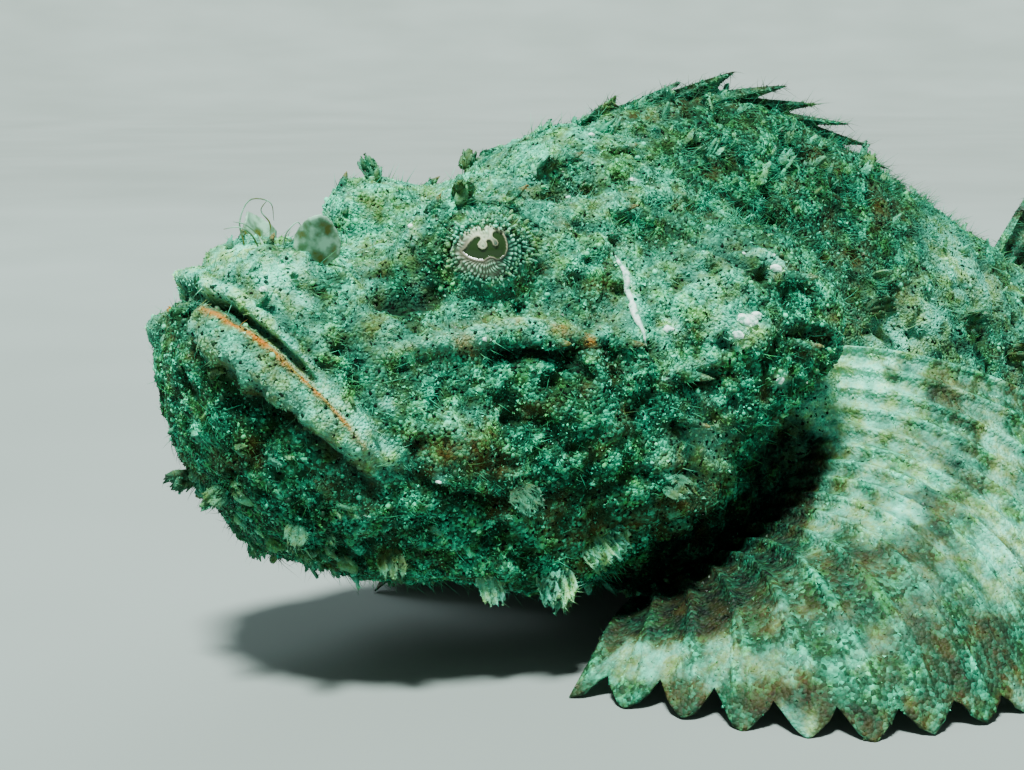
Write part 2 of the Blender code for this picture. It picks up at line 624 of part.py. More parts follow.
def with_tassels(nodes):
    """The nodes with their flaps of skin and bony spines joined on, each root sunk in."""
    draw = random.Random(7)
    trees = {name: skin_tree(node) for name, node in nodes.items()}
    pieces = {name: [] for name in nodes}
    for side in SIDES:
        for name, near, direction, length, width, lobes in TASSELS:
            grow = 1 + draw.uniform(-0.12, 0.12)
            turned = [d + draw.uniform(-0.1, 0.1) for d in direction]
            place, ahead, facing = mirrored([near, turned, (-0.25, 1, 0.2)], side)
            root = trees[name].find_nearest(Vector(place))[0] - Vector(ahead).normalized() * 1.3
            pieces[name].append(tassel(root, ahead, facing, (length + 1.3) * grow, width * grow, lobes))
        for near, direction, length in HEAD_SPINES:
            place, ahead = mirrored([near, direction], side)
            root = trees["head"].find_nearest(Vector(place))[0]
            pieces["head"].append(spike(root, ahead, length))
    return {name: combined(node, "UNION", pieces[name]) for name, node in nodes.items()}


def bent(points):
    """Points of the straight fish, in metres, moved to where the swung tail has them."""
    start, rate = BEND_FROM * MM, BEND_ANGLE / ((FISH_END - BEND_FROM) * MM)
    turn = np.maximum(points[:, 0] - start, 0) * rate
    behind = points[:, 0] > start
    x = np.where(behind, start + np.sin(turn) / rate - points[:, 1] * np.sin(turn), points[:, 0])
    y = np.where(behind, (1 - np.cos(turn)) / rate + points[:, 1] * np.cos(turn), points[:, 1])
    return np.stack([x, y, points[:, 2]], 1)


def coordinates(mesh):
    flat = np.empty(len(mesh.vertices) * 3, np.float32)
    mesh.vertices.foreach_get("co", flat)
    return flat.reshape(-1, 3).astype(float)


def placed(nodes):
    """Swings the tail, cuts every node off at the floor and puts the origin under the middle."""
    for obj in nodes.values():
        obj.data.vertices.foreach_set("co", bent(coordinates(obj.data)).astype(np.float32).ravel())
    for name in list(nodes):
        if coordinates(nodes[name].data)[:, 2].min() < 0:
            ground = prism([(-60, 0), (-60, -40), (300, -40), (300, 0)], 150)
            nodes[name] = combined(nodes[name], "DIFFERENCE", [ground])
    every = np.concatenate([coordinates(obj.data) for obj in nodes.values()])
    middle = (every.min(0) + every.max(0)) / 2
    for obj in nodes.values():
        obj.data.transform(Matrix.Translation((-middle[0], -middle[1], 0)))
    print("origin at station", round(middle[0] / MM, 2), "and", round(middle[1] / MM, 2), "to the right")
    return nodes


# Colour and roughness of each kind of piece; a node takes the first kind that its name contains.
COLOURS = {
    "eye": ((0.42, 0.38, 0.32), 0.25),
    "fin": ((0.24, 0.29, 0.22), 0.7),
    "jaw": ((0.20, 0.24, 0.19), 0.8),
    "head": ((0.24, 0.29, 0.23), 0.8),
    "": ((0.13, 0.18, 0.14), 0.8),
}


def finished(nodes):
    """Names every node, shades it smooth and gives it its own material."""
    for name, obj in nodes.items():
        obj.name = name
        colour, roughness = next(look for kind, look in COLOURS.items() if kind in name)
        material = bpy.data.materials.new(name)
        material.use_nodes = True
        shader = material.node_tree.nodes["Principled BSDF"]
        shader.inputs["Base Color"].default_value = (*colour, 1)
        shader.inputs["Roughness"].default_value = roughness
        shader.inputs["Metallic"].default_value = 0
        obj.data.materials.clear()
        obj.data.materials.append(material)
        obj.data.shade_smooth()
        obj.data.set_sharp_from_angle(angle=math.radians(38))


def main():
    clear_scene()
    rear_skin = torso_skin()
    nodes = parted(head_skin(), rear_skin)
    head_tree = skin_tree(nodes["head"])
    cutters = []
    for side in SIDES:
        cutters.append(lump(mirrored([EYE_CENTRE], side)[0], [EYE_RADIUS + GAP] * 3, (90, 0, 0), rings=10))
        for *near, radius in NOSTRILS:
            place = head_tree.find_nearest(Vector(mirrored([near], side)[0]))[0]
            cutters.append(lump(place, [radius] * 3, rings=5))
    nodes["head"] = combined(nodes["head"], "DIFFERENCE", cutters)
    nodes = with_tassels(nodes)
    fins = [spiny_dorsal_fin(), tail_fin()]
    fins.append(soft_fin("dorsal_fin_soft", *SOFT_DORSAL, (4, 0, 7)))
    fins.append(soft_fin("anal_fin", *ANAL, (2, 0, -1.6), lay=-2))
    for side in SIDES:
        fins += [pectoral_fin(side), pelvic_fin(side)]
    for obj in fins:
        name = obj.name
        clearance = [swollen(rear_skin, GAP * 1.1), swollen(nodes["head"], GAP * 1.3)]
        nodes[name] = combined(obj, "DIFFERENCE", clearance)
    for side in SIDES:
        nodes[f"eye_{side}"] = eye(side)
    for obj in list(bpy.data.objects):
        if obj not in nodes.values():
            bpy.data.objects.remove(obj)
    finished(placed(nodes))


main()
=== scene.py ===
# %% [markdown]
# # A scorpionfish that rests on the floor
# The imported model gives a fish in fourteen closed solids: four of flesh, eight fins and two eyes. This
# lesson dresses them. One skin goes over the flesh, dense fins take the place of the plain ones, and a
# coat of grains, filaments and fringed flaps is grown on them, as on the real animal, which hides by
# looking like a stone with weed on it.

# %% Load the frame
import contextlib
import math
import random

import bmesh
import bpy
import numpy as np
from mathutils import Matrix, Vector, noise
from mathutils.bvhtree import BVHTree


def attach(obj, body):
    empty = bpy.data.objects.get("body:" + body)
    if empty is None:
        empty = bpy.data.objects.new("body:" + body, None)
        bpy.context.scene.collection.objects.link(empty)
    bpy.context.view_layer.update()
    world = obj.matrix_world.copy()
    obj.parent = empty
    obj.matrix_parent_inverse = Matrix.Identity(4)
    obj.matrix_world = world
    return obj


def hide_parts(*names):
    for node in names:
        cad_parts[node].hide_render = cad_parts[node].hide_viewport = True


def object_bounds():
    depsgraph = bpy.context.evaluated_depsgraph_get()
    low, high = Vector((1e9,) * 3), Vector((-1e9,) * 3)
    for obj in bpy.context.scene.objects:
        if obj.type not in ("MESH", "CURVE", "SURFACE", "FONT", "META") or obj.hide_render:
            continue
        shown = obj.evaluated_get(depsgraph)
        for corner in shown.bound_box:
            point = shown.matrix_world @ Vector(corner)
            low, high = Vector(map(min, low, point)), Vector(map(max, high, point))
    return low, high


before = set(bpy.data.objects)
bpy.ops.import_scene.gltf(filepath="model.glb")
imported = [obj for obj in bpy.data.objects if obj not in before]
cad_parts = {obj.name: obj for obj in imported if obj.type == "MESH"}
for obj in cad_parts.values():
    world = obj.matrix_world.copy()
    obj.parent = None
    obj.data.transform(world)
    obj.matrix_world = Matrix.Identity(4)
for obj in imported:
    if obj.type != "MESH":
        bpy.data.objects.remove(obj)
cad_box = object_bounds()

print("nodes:", ", ".join(sorted(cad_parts)))

# %% [markdown]
# ## Helpers
# Blender works in metres and linear colour, while a fish is easier to think of in millimetres and in
# colours as a screen shows them. One function turns colours, one makes a mesh from millimetre points, and
# one adds a node to any tree with its settings and links, for materials and Geometry Nodes alike. Others
# move numbers between a mesh and numpy, store a number on each point, and turn modifiers into plain mesh.

# %% Colours, nodes and meshes
MM = 0.001


def linear(text):
    """An sRGB hex colour as the linear values that Blender's sockets take."""
    parts = [int(text[i:i + 2], 16) / 255 for i in (1, 3, 5)]
    return (*[c / 12.92 if c <= 0.04045 else ((c + 0.055) / 1.055) ** 2.4 for c in parts], 1)


def add(tree, kind, inputs=None, stops=None, **settings):
    """Adds a node. Inputs are values or sockets by name or number, and stops are those of a ramp."""
    made = tree.nodes.new(kind)
    for key, value in settings.items():
        setattr(made, key, value)
    if stops:
        ramp = made.color_ramp
        while len(ramp.elements) < len(stops):
            ramp.elements.new(1)
        for element, (place, colour) in zip(ramp.elements, stops):
            element.position, element.color = place, linear(colour)
    for key, value in (inputs or {}).items():
        if isinstance(value, bpy.types.NodeSocket):
            tree.links.new(value, made.inputs[key])
        else:
            made.inputs[key].default_value = value
    return made


def new_object(name, mesh):
    """An object of a mesh, in the scene."""
    obj = bpy.data.objects.new(name, mesh)
    bpy.context.scene.collection.objects.link(obj)
    return obj


def mesh_object(name, points, faces):
    """An object from millimetre points in the row's frame."""
    mesh = bpy.data.meshes.new(name)
    mesh.from_pydata((np.asarray(points) * MM).tolist(), [], faces)
    return new_object(name, mesh)


def read(mesh, what="vertices", key="co"):
    """Places or normals of a mesh as an array."""
    flat = np.empty(len(mesh.vertices) * 3, np.float32)
    getattr(mesh, what).foreach_get(key, flat)
    return flat.reshape(-1, 3).astype(float)


def keep_field(mesh, name, values):
    """Stores one number, or one vector, for each point of a mesh."""
    flat = np.asarray(values, np.float32)
    kind, key = ("FLOAT", "value") if flat.ndim == 1 else ("FLOAT_VECTOR", "vector")
    mesh.attributes.new(name, kind, "POINT").data.foreach_set(key, flat.ravel())


def baked(obj, name=None):
    """The object with its modifiers applied, as a plain mesh in its place."""
    graph = bpy.context.evaluated_depsgraph_get()
    mesh = bpy.data.meshes.new_from_object(obj.evaluated_get(graph))
    name = name or obj.name
    bpy.data.objects.remove(obj)
    return new_object(name, mesh)


def read_field(mesh, name):
    """A stored number of each point as an array."""
    flat = np.empty(len(mesh.vertices), np.float32)
    mesh.attributes[name].data.foreach_get("value", flat)
    return flat.astype(float)


@contextlib.contextmanager
def edited(mesh, *more):
    """Opens a mesh, with copies of others joined on, and writes it back when the block ends."""
    bm = bmesh.new()
    for source in (mesh, *more):
        bm.from_mesh(source)
    yield bm
    bm.to_mesh(mesh)
    bm.free()


def outward_faces(mesh):
    """Turns the faces of a closed mesh outwards."""
    with edited(mesh) as bm:
        bmesh.ops.recalc_face_normals(bm, faces=bm.faces)


# %% [markdown]
# Nothing of the dressed fish reaches past the box of its solids, and so nothing sinks into the floor.
# Points that noise would push out are held at that box, less a hair.

# %% The box that holds the fish
BOX_MARGIN = 0.03  # mm
LOW, HIGH = (np.array(corner) / MM for corner in cad_box)
LOW, HIGH = LOW + BOX_MARGIN, HIGH - BOX_MARGIN


def held(points):
    """Millimetre points kept inside the box of the solids."""
    return np.clip(points, LOW, HIGH)


print("box in mm:", LOW.round(2).tolist(), HIGH.round(2).tolist())

# %% [markdown]
# ## The swing of the tail
# The fish is built straight and then bent behind its fins, so that a pattern, a fin or a flap can be
# planned on the straight animal. `bend` takes straight millimetres (station, side, height) to the row's
# frame, and `unbend` goes back. The numbers are those of the solids.

# %% Bend and unbend
ORIGIN, BEND_FROM, FISH_END = 104.98, 96, 216
BEND_RADIUS = (FISH_END - BEND_FROM) / math.radians(26)


def bend(points):
    """Straight millimetres to the row's frame."""
    p = np.asarray(points, float).reshape(-1, 3)
    turn = np.maximum(p[:, 0] - BEND_FROM, 0) / BEND_RADIUS
    x = np.minimum(p[:, 0], BEND_FROM) + (BEND_RADIUS - p[:, 1]) * np.sin(turn)
    y = BEND_RADIUS - (BEND_RADIUS - p[:, 1]) * np.cos(turn)
    return np.stack([x - ORIGIN, y, p[:, 2]], 1)


def unbend(points):
    """The row's frame to straight millimetres."""
    p = np.asarray(points, float).reshape(-1, 3)
    x, y = p[:, 0] + ORIGIN - BEND_FROM, BEND_RADIUS - p[:, 1]
    behind = x > 0
    s = np.where(behind, np.arctan2(x, y) * BEND_RADIUS, x) + BEND_FROM
    side = np.where(behind, BEND_RADIUS - np.hypot(x, y), p[:, 1])
    return np.stack([s, side, p[:, 2]], 1)


def eased(t, start, leave, end, arrive):
    """A smooth step from start to end that leaves and arrives at given slopes, t from 0 to 1."""
    return ((2 * t**3 - 3 * t**2 + 1) * start + (t**3 - 2 * t**2 + t) * leave
            + (3 * t**2 - 2 * t**3) * end + (t**3 - t**2) * arrive)


def along(points, at):
    """A smooth line through (station, value) points, read at one or more stations."""
    s, v = np.array(points, float).T
    slope = np.gradient(v, s)
    at = np.clip(np.asarray(at, float), s[0], s[-1])
    i = np.clip(np.searchsorted(s, at, side="right") - 1, 0, len(s) - 2)
    h = s[i + 1] - s[i]
    return eased((at - s[i]) / h, v[i], h * slope[i], v[i + 1], h * slope[i + 1])


def unit(vector):
    """The direction of a vector, at length 1."""
    return np.asarray(vector, float) / np.linalg.norm(vector)


def path_points(points, count):
    """Points at even spacing on a smooth curve through the given ones."""
    p = np.array(points, float)
    length = np.concatenate([[0], np.cumsum(np.linalg.norm(np.diff(p, axis=0), axis=1))])
    at = np.linspace(0, length[-1], count)
    return np.stack([along(np.stack([length, p[:, k]], 1), at) for k in range(3)], 1)


print("the tail's tip lies at", bend((FISH_END, 0, 20))[0].round(1))

# %% [markdown]
# ## Camera, light and floor
# The camera stands where the photograph's did, low and close, a little ahead of the fish. Its place was
# found from the eye, the mouth and the hump. A pixel of the photograph then gives a ray, and where it
# meets the skin is the place of a fold or a spot. The light is a soft sun high on the left with a weak pale
# sky, so the hollow behind the gill cover and the chin stay dark. The floor is a wide shallow bowl, whose
# far rim hides the horizon.

# %% Camera
TARGET = Vector((-71.151, -17.773, 36.199)) * MM
TOWARDS_CAMERA = Vector((-0.4924, -0.8529, 0.1736))
CAMERA_DISTANCE = 0.2315  # m
LENS, SENSOR, IMAGE = 70, 36, (1024, 770)  # mm, mm and pixels

camera = bpy.data.objects.new("camera", bpy.data.cameras.new("camera"))
bpy.context.scene.collection.objects.link(camera)
camera.data.lens, camera.data.sensor_width = LENS, SENSOR
camera.data.clip_start = 0.01
camera.location = TARGET + TOWARDS_CAMERA * CAMERA_DISTANCE
camera.rotation_euler = (-TOWARDS_CAMERA).to_track_quat("-Z", "Y").to_euler()
bpy.context.scene.camera = camera


def pixel_ray(px, py):
    """Where a ray through a pixel of the photograph starts, in metres, and its direction."""
    ray = Vector((px - IMAGE[0] / 2, IMAGE[1] / 2 - py, -LENS / SENSOR * IMAGE[0]))
    return camera.location, (camera.rotation_euler.to_matrix() @ ray).normalized()


print("camera at", [round(c, 4) for c in camera.location])

# %% Light and floor
def lamp(name, kind, place, strength, colour, **settings):
    """A lamp that looks at the fish."""
    light = bpy.data.lights.new(name, kind)
    light.energy, light.color = strength, linear(colour)[:3]
    for key, value in settings.items():
        setattr(light, key, value)
    obj = bpy.data.objects.new(name, light)
    bpy.context.scene.collection.objects.link(obj)
    obj.location = place
    obj.rotation_euler = (TARGET - Vector(place)).to_track_quat("-Z", "Y").to_euler()


lamp("key", "SUN", (-0.26, -0.19, 0.68), 10.2, "#f4fff8", angle=math.radians(11))
lamp("rim", "AREA", (0.15, 0.45, 0.45), 1.6, "#eafcff", size=0.4)
world = bpy.data.worlds.new("sky")
bpy.context.scene.world = world
world.use_nodes = True
world.node_tree.nodes["Background"].inputs["Color"].default_value = linear("#dff0ee")
world.node_tree.nodes["Background"].inputs["Strength"].default_value = 0.22

FLOOR_SIDES = 96
FLOOR_RINGS = [(0.4, 0), (1.2, 0)] + [(1.5 + 0.12 * k, 0.0045 * k * k) for k in range(13)]  # radius and height, m
points = [(r / MM * math.cos(a), r / MM * math.sin(a), h / MM) for r, h in FLOOR_RINGS
          for a in np.linspace(0, math.tau, FLOOR_SIDES, endpoint=False)]
faces = [tuple(range(FLOOR_SIDES))]
for ring in range(len(FLOOR_RINGS) - 1):
    near, far = FLOOR_SIDES * ring, FLOOR_SIDES * (ring + 1)
    for k in range(FLOOR_SIDES):
        after = (k + 1) % FLOOR_SIDES
        faces.append((near + k, far + k, far + after, near + after))
floor = mesh_object("floor", points, faces)
floor.data.shade_smooth()
plaster = bpy.data.materials.new("pale_studio_floor")
plaster.use_nodes = True
tree = plaster.node_tree
coords = add(tree, "ShaderNodeTexCoord").outputs["Object"]
cloud = add(tree, "ShaderNodeTexNoise", {"Vector": coords, "Scale": 9.0}).outputs[0]
tint = add(tree, "ShaderNodeValToRGB", {"Fac": cloud}, stops=((0.3, "#808a87"), (0.7, "#8a9391"))).outputs["Color"]
tree.links.new(tint, tree.nodes["Principled BSDF"].inputs["Base Color"])
tree.nodes["Principled BSDF"].inputs["Roughness"].default_value = 0.9
floor.data.materials.append(plaster)
print("floor:", len(faces), "faces")

# %% [markdown]
# ## One skin over the flesh
# Head, lower jaw, torso and tail are four solids with thin gaps between them and with plain spikes and
# tassels on them. A skin has neither. The four are swollen until they touch and melted into one by a
# voxel remesh. Geometry Nodes then turn the result into a volume and take its surface some way in, which
# drops all that is thin, and pushing the points out again gives back everything else.

# %% Geometry Nodes trees
def new_tree(name, sockets):
    """A Geometry Nodes tree with a geometry in and out and the named inputs."""
    tree = bpy.data.node_groups.new(name, "GeometryNodeTree")
    tree.interface.new_socket("Geometry", in_out="INPUT", socket_type="NodeSocketGeometry")
    for label, kind in sockets:
        tree.interface.new_socket(label, in_out="INPUT", socket_type="NodeSocket" + kind)
    tree.interface.new_socket("Geometry", in_out="OUTPUT", socket_type="NodeSocketGeometry")
    return tree, add(tree, "NodeGroupInput").outputs


def run_tree(obj, tree, values, name=None):
    """Runs a tree on an object and gives the result as a plain mesh object."""
    change = obj.modifiers.new(tree.name, "NODES")
    change.node_group = tree
    for item in tree.interface.items_tree:
        if item.in_out == "INPUT" and item.name in values:
            change[item.identifier] = values[item.name]
    return baked(obj, name)


print("helpers for Geometry Nodes are ready")

# %% Melt the flesh nodes
FLESH = ("head", "lower_jaw", "torso", "tail")
SWELL, VOXEL, OPENING, COAT_DEPTH = 0.28, 0.62, 0.8, 0.35  # mm
DOUBLES = 1e-6  # m
BAND = 1.6  # how much deeper than the surface taken the volume is filled

skin = new_object("skin", bpy.data.meshes.new("skin"))
with edited(skin.data, *(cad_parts[name].data for name in FLESH)) as bm:
    bmesh.ops.remove_doubles(bm, verts=bm.verts, dist=DOUBLES)
    bm.normal_update()
    for vertex, move in [(v, v.normal * SWELL * MM) for v in bm.verts]:
        vertex.co += move
melt = skin.modifiers.new("melt", "REMESH")
melt.mode, melt.voxel_size = "VOXEL", VOXEL * MM
skin = baked(skin)

tree, given = new_tree("Opened", (("Voxel", "Float"), ("Depth", "Float")))
band = add(tree, "ShaderNodeMath", {0: given["Depth"], 1: BAND}, operation="MULTIPLY").outputs[0]
volume = add(tree, "GeometryNodeMeshToVolume", {
    "Mesh": given["Geometry"], "Voxel Size": given["Voxel"], "Interior Band Width": band,
}, resolution_mode="VOXEL_SIZE")
shell = add(tree, "GeometryNodeVolumeToMesh", {
    "Volume": volume.outputs[0], "Threshold": 1 / BAND, "Voxel Size": given["Voxel"],
}, resolution_mode="VOXEL_SIZE")
add(tree, "NodeGroupOutput", {0: shell.outputs[0]})
skin = run_tree(skin, tree, {"Voxel": VOXEL * MM, "Depth": (SWELL + OPENING) * MM})
ease = skin.modifiers.new("ease", "SMOOTH")
ease.factor, ease.iterations = 0.5, 6
skin = baked(skin)
print("melted skin:", len(skin.data.polygons), "faces")


# %% Keep one surface and make it finer where it matters
def largest_piece(obj):
    """Drops every surface of the object but the one with the most faces."""
    mesh = obj.data
    links = np.empty(len(mesh.edges) * 2, np.int64)
    mesh.edges.foreach_get("vertices", links)
    links = links.reshape(-1, 2)
    label = np.arange(len(mesh.vertices))
    while True:
        lowest = np.minimum(label[links[:, 0]], label[links[:, 1]])
        after = label.copy()
        np.minimum.at(after, links[:, 0], lowest)
        np.minimum.at(after, links[:, 1], lowest)
        after = after[after]
        if (after == label).all():
            break
        label = after
    main = np.bincount(label).argmax()
    with edited(mesh) as bm:
        bmesh.ops.delete(bm, geom=[v for v in bm.verts if label[v.index] != main], context="VERTS")


GAPE = np.array((  # the mouth's line in straight mm
    (-0.3, 0, 47.5), (0.8, 6, 46.5), (4.1, 11, 43.7), (8.3, 15, 39.2), (12.1, 18.5, 34.1), (17, 20.8, 27)))
EYE_CENTRE, EYE_RADIUS = np.array((32.3, 14.2, 51.4)), 4.7
NEAR_MOUTH, NEAR_EYE = 3.4, 7.5  # mm


def refined(obj):
    """Halves the edges near the mouth and round the eyes, where the smallest folds are."""
    here = unbend(read(obj.data) / MM)
    here[:, 1] = np.abs(here[:, 1])
    mouth = np.linalg.norm(here[:, None] - path_points(GAPE, 40)[None], axis=2).min(1) < NEAR_MOUTH
    near = mouth | (np.linalg.norm(here - EYE_CENTRE, axis=1) < NEAR_EYE)
    with edited(obj.data) as bm:
        edges = [e for e in bm.edges if near[e.verts[0].index] and near[e.verts[1].index]]
        bmesh.ops.subdivide_edges(bm, edges=edges, cuts=1, use_grid_fill=True)


largest_piece(skin)
refined(skin)
base = read(skin.data) / MM + read(skin.data, "vertex_normals", "vector") * (OPENING - COAT_DEPTH)
print("skin:", len(base), "points, box", base.min(0).round(1), base.max(0).round(1))

# %% [markdown]
# ## Folds, pits and warts
# The real skin is a stone's: ridges of bone, grooves, pits and warts. Each named fold below is a line of
# pixels in the photograph, thrown onto the skin by the camera's rays and mirrored to the other side. It
# raises or sinks the skin across its width, and leaves a tint. Noise adds the lumps and warts between.
# The dark tint that a sunk fold leaves is painted shade in its groove.

# %% Marks laid on the skin
skin.data.vertices.foreach_set("co", (base * MM).astype(np.float32).ravel())
skin.data.update()


def search_tree(points):
    """A tree that finds places on the skin when its points stand at the given millimetres."""
    return BVHTree.FromPolygons([Vector(p) for p in points], [tuple(p.vertices) for p in skin.data.polygons])


skin_tree = search_tree(base)
straight = unbend(base)
height = np.zeros(len(base))
tints = {name: np.zeros(len(base)) for name in ("pale", "dark", "rust", "calm", "orange")}


def seen(pixels, step=3):
    """Where the rays through a line of pixels meet the skin, in straight millimetres."""
    p = np.array(pixels, float)
    reach = np.concatenate([[0], np.cumsum(np.hypot(*np.diff(p, axis=0).T))])
    count = max(2, int(reach[-1] / step))
    hits = []
    for at in np.linspace(0, reach[-1], count):
        start, ray = pixel_ray(np.interp(at, reach, p[:, 0]), np.interp(at, reach, p[:, 1]))
        hit = skin_tree.ray_cast(start / MM, ray)[0]
        if hit:
            hits.append(hit)
    return unbend(np.array(hits))  # none where the line misses the skin


def press(line, width, lift=0.0, sides=(1, -1), **tint):
    """Lifts or sinks the skin along a line on both sides, and tints it."""
    global height
    ends = 1 - np.abs(np.linspace(-1, 1, len(line))) ** 6 * 0.7 if len(line) > 2 else np.ones(2)  # fading
    for side in sides:
        path = line * (1, side, 1)
        if not len(path):
            continue
        low, high = path.min(0) - 3 * width, path.max(0) + 3 * width
        near = np.flatnonzero(((straight > low) & (straight < high)).all(1))
        away = np.linalg.norm(straight[near, None] - path[None], axis=2)
        share = np.exp(-(away.min(1) / width) ** 2) * ends[away.argmin(1)]
        height[near] += lift * share
        for name, amount in tint.items():
            tints[name][near] = np.maximum(tints[name][near], amount * share)
        if "orange" in tint:
            tints["dark"][near] *= 1 - share


print("rays through the pixels of the mouth meet the skin at", len(seen(((182, 288), (322, 391)))), "places")

# %% Folds and spots
FOLDS = (  # pixels, half width and lift in mm, tints; the dark tint of a sunk fold is painted shade in its groove, pit or hollow
    (((222, 262), (244, 284), (268, 306), (296, 336), (316, 362)), 0.8, -0.9, {"dark": 0.6}),  # painted shade over the lip
    (((190, 276), (214, 284), (240, 302), (266, 326), (290, 352), (316, 384), (344, 412), (372, 440), (398, 468)),
     1.3, 0.95, {"calm": 0.5, "pale": 0.9}),  # upper lip and the jaw bone's front edge
    (((180, 326), (206, 338), (243, 360), (281, 388), (315, 417), (346, 442), (377, 476)), 2.0, 1.2,
     {"calm": 0.5, "pale": 0.3, "rust": 0.4}),  # lower lip
    (((145, 292), (150, 312), (160, 300)), 2.8, -2.6, {}), (((168, 296), (176, 298)), 1.6, -1.2, {}),
    (((452, 343), (474, 345)), 0.9, 0.2, {"orange": 0.3}), (((508, 326), (520, 330)), 0.7, 0.1, {"orange": 0.35}),
    (((548, 332), (566, 334)), 0.7, 0.1, {"orange": 0.3}), (((588, 336), (598, 343)), 0.5, 0.7, {"orange": 0.8}),
    (((150, 318), (158, 336)), 2.0, -0.7, {"rust": 0.3}),  # the lower lip's front
    (((182, 288), (205, 297), (229, 307), (252, 323), (275, 341), (299, 365), (322, 391)), 0.6, -2.4,
     {"dark": 1.0, "calm": 1.0}),  # the mouth, a little open, its gap in painted shade
    (((232, 396), (262, 408), (300, 428), (344, 462), (384, 502)), 1.0, -1.4, {"dark": 0.95}),
    (((352, 262), (374, 268), (392, 278)), 1.1, -0.9, {"dark": 0.8}),  # crease before the eye, in painted shade
    (((372, 298), (386, 300), (400, 304), (426, 298), (444, 300)), 1.7, -1.9, {"dark": 0.95}),  # pit before the eye, in painted shade
    (((352, 326), (392, 326), (430, 322)), 1.0, 0.6, {"pale": 0.15}),  # bone under the pit
    (((318, 296), (346, 312), (366, 330)), 3.2, 0.0, {"dark": 0.3}),  # shaded side of the snout
    (((396, 334), (440, 328), (476, 322)), 2.2, 0.0, {"dark": 0.22}),  # darker sand above the cheek's ridge
    (((376, 352), (420, 346), (462, 338), (504, 326), (548, 328), (584, 334)), 1.1, 1.15,
     {"pale": 0.3, "rust": 0.3}),  # ridge of the cheek
    (((484, 360), (500, 356), (530, 354), (560, 358), (592, 342)), 1.0, -2.1, {"dark": 1.0}),  # groove below, in painted shade
    (((562, 358), (580, 368), (598, 380)), 0.9, -1.2, {"dark": 0.9}),
    (((444, 196), (470, 184), (500, 188), (530, 206), (546, 230)), 1.2, 0.6, {}),  # brow
    (((470, 208), (500, 204), (526, 214), (534, 236), (526, 262), (504, 276)), 0.5, -0.5, {"dark": 0.45}),
    (((448, 272), (468, 284), (500, 286), (522, 276)), 0.6, -0.5, {"dark": 0.5}),  # creases round the eye, in painted shade
    (((528, 198), (548, 196), (566, 190), (604, 186)), 0.9, -1.5, {"dark": 1.0}),  # line of pits behind the brow, in painted shade
    (((560, 208), (590, 204), (640, 196), (700, 196)), 1.0, 0.7, {"pale": 0.15, "rust": 0.2}),
    (((524, 264), (540, 268), (556, 272)), 0.7, -0.8, {"dark": 0.7, "rust": 0.3}),
    (((662, 222), (676, 232), (698, 242), (722, 252), (748, 272), (782, 298)), 0.7, -1.1, {"dark": 0.85}),
    (((742, 248), (764, 256), (786, 270)), 0.8, 0.6, {"pale": 0.6}),
    (((617, 258), (624, 274), (632, 298), (642, 342)), 0.42, 0.4, {"pale": 1.0, "calm": 0.8}),  # streak
    (((606, 250), (608, 290), (616, 330)), 0.8, -0.5, {"dark": 0.35, "rust": 0.3}),
    (((664, 384), (676, 374), (700, 364), (722, 360)), 0.8, 0.8, {"pale": 0.3, "rust": 0.3}),
    (((678, 386), (690, 384), (702, 384), (724, 374)), 1.1, -2.0, {"dark": 1.0}),  # hollows of the gill cover, in painted shade
    (((672, 428), (682, 430), (694, 434)), 1.1, -1.8, {"dark": 1.0}),
    (((790, 338), (806, 340), (824, 344)), 1.5, -2.0, {"dark": 1.0}),
    (((786, 322), (812, 322), (832, 334), (828, 354)), 0.7, 0.7, {}),
    (((508, 420), (516, 422)), 0.7, -0.8, {"dark": 0.8}),
    (((552, 398), (560, 408)), 0.7, -0.7, {"dark": 0.6, "rust": 0.3}),
    (((340, 352), (360, 350), (364, 364), (346, 370), (336, 360)), 0.6, -0.7, {"dark": 0.6}),
    (((396, 458), (414, 428), (462, 434), (490, 446), (516, 466), (508, 488)), 0.9, 0.8, {"rust": 0.3}),
    (((404, 462), (420, 446), (436, 436)), 2.0, 0.2, {"dark": 0.6, "rust": 0.3}),  # end of the jaw bone
    (((430, 456), (464, 446), (486, 458), (506, 476)), 1.6, 0.2, {"rust": 0.6, "dark": 0.35}),
    (((410, 470), (430, 486), (470, 500), (520, 510)), 0.8, -0.9, {"dark": 0.7}),
    (((402, 480), (440, 500), (500, 504), (560, 496), (600, 494), (640, 470), (690, 474)), 0.9, -0.8,
     {"dark": 0.6}),  # painted shade under the cheek
    (((560, 534), (620, 526), (680, 508), (728, 488)), 3.0, 0.3, {"rust": 0.5, "calm": 0.5, "dark": 0.3}),  # gill skin
    (((620, 512), (650, 506), (700, 488)), 0.6, -0.7, {"dark": 0.6}),
    (((600, 544), (650, 530), (700, 512)), 0.6, -0.7, {"dark": 0.6}),
    (((640, 466), (690, 462), (730, 470), (734, 486)), 0.8, 0.6, {"pale": 0.2}),  # free edge of the cover
    (((620, 420), (650, 400), (640, 440)), 1.4, -0.5, {"dark": 0.4}),
    (((980, 322), (988, 345)), 2.6, -0.4, {"dark": 0.8}),  # blotch of the flank
    (((196, 304), (224, 321), (256, 340), (274, 354), (302, 381), (327, 404), (346, 425), (362, 446)), 0.46, 0.5,
     {"orange": 1.0, "calm": 1.0}),  # bare rim of the lower lip
)
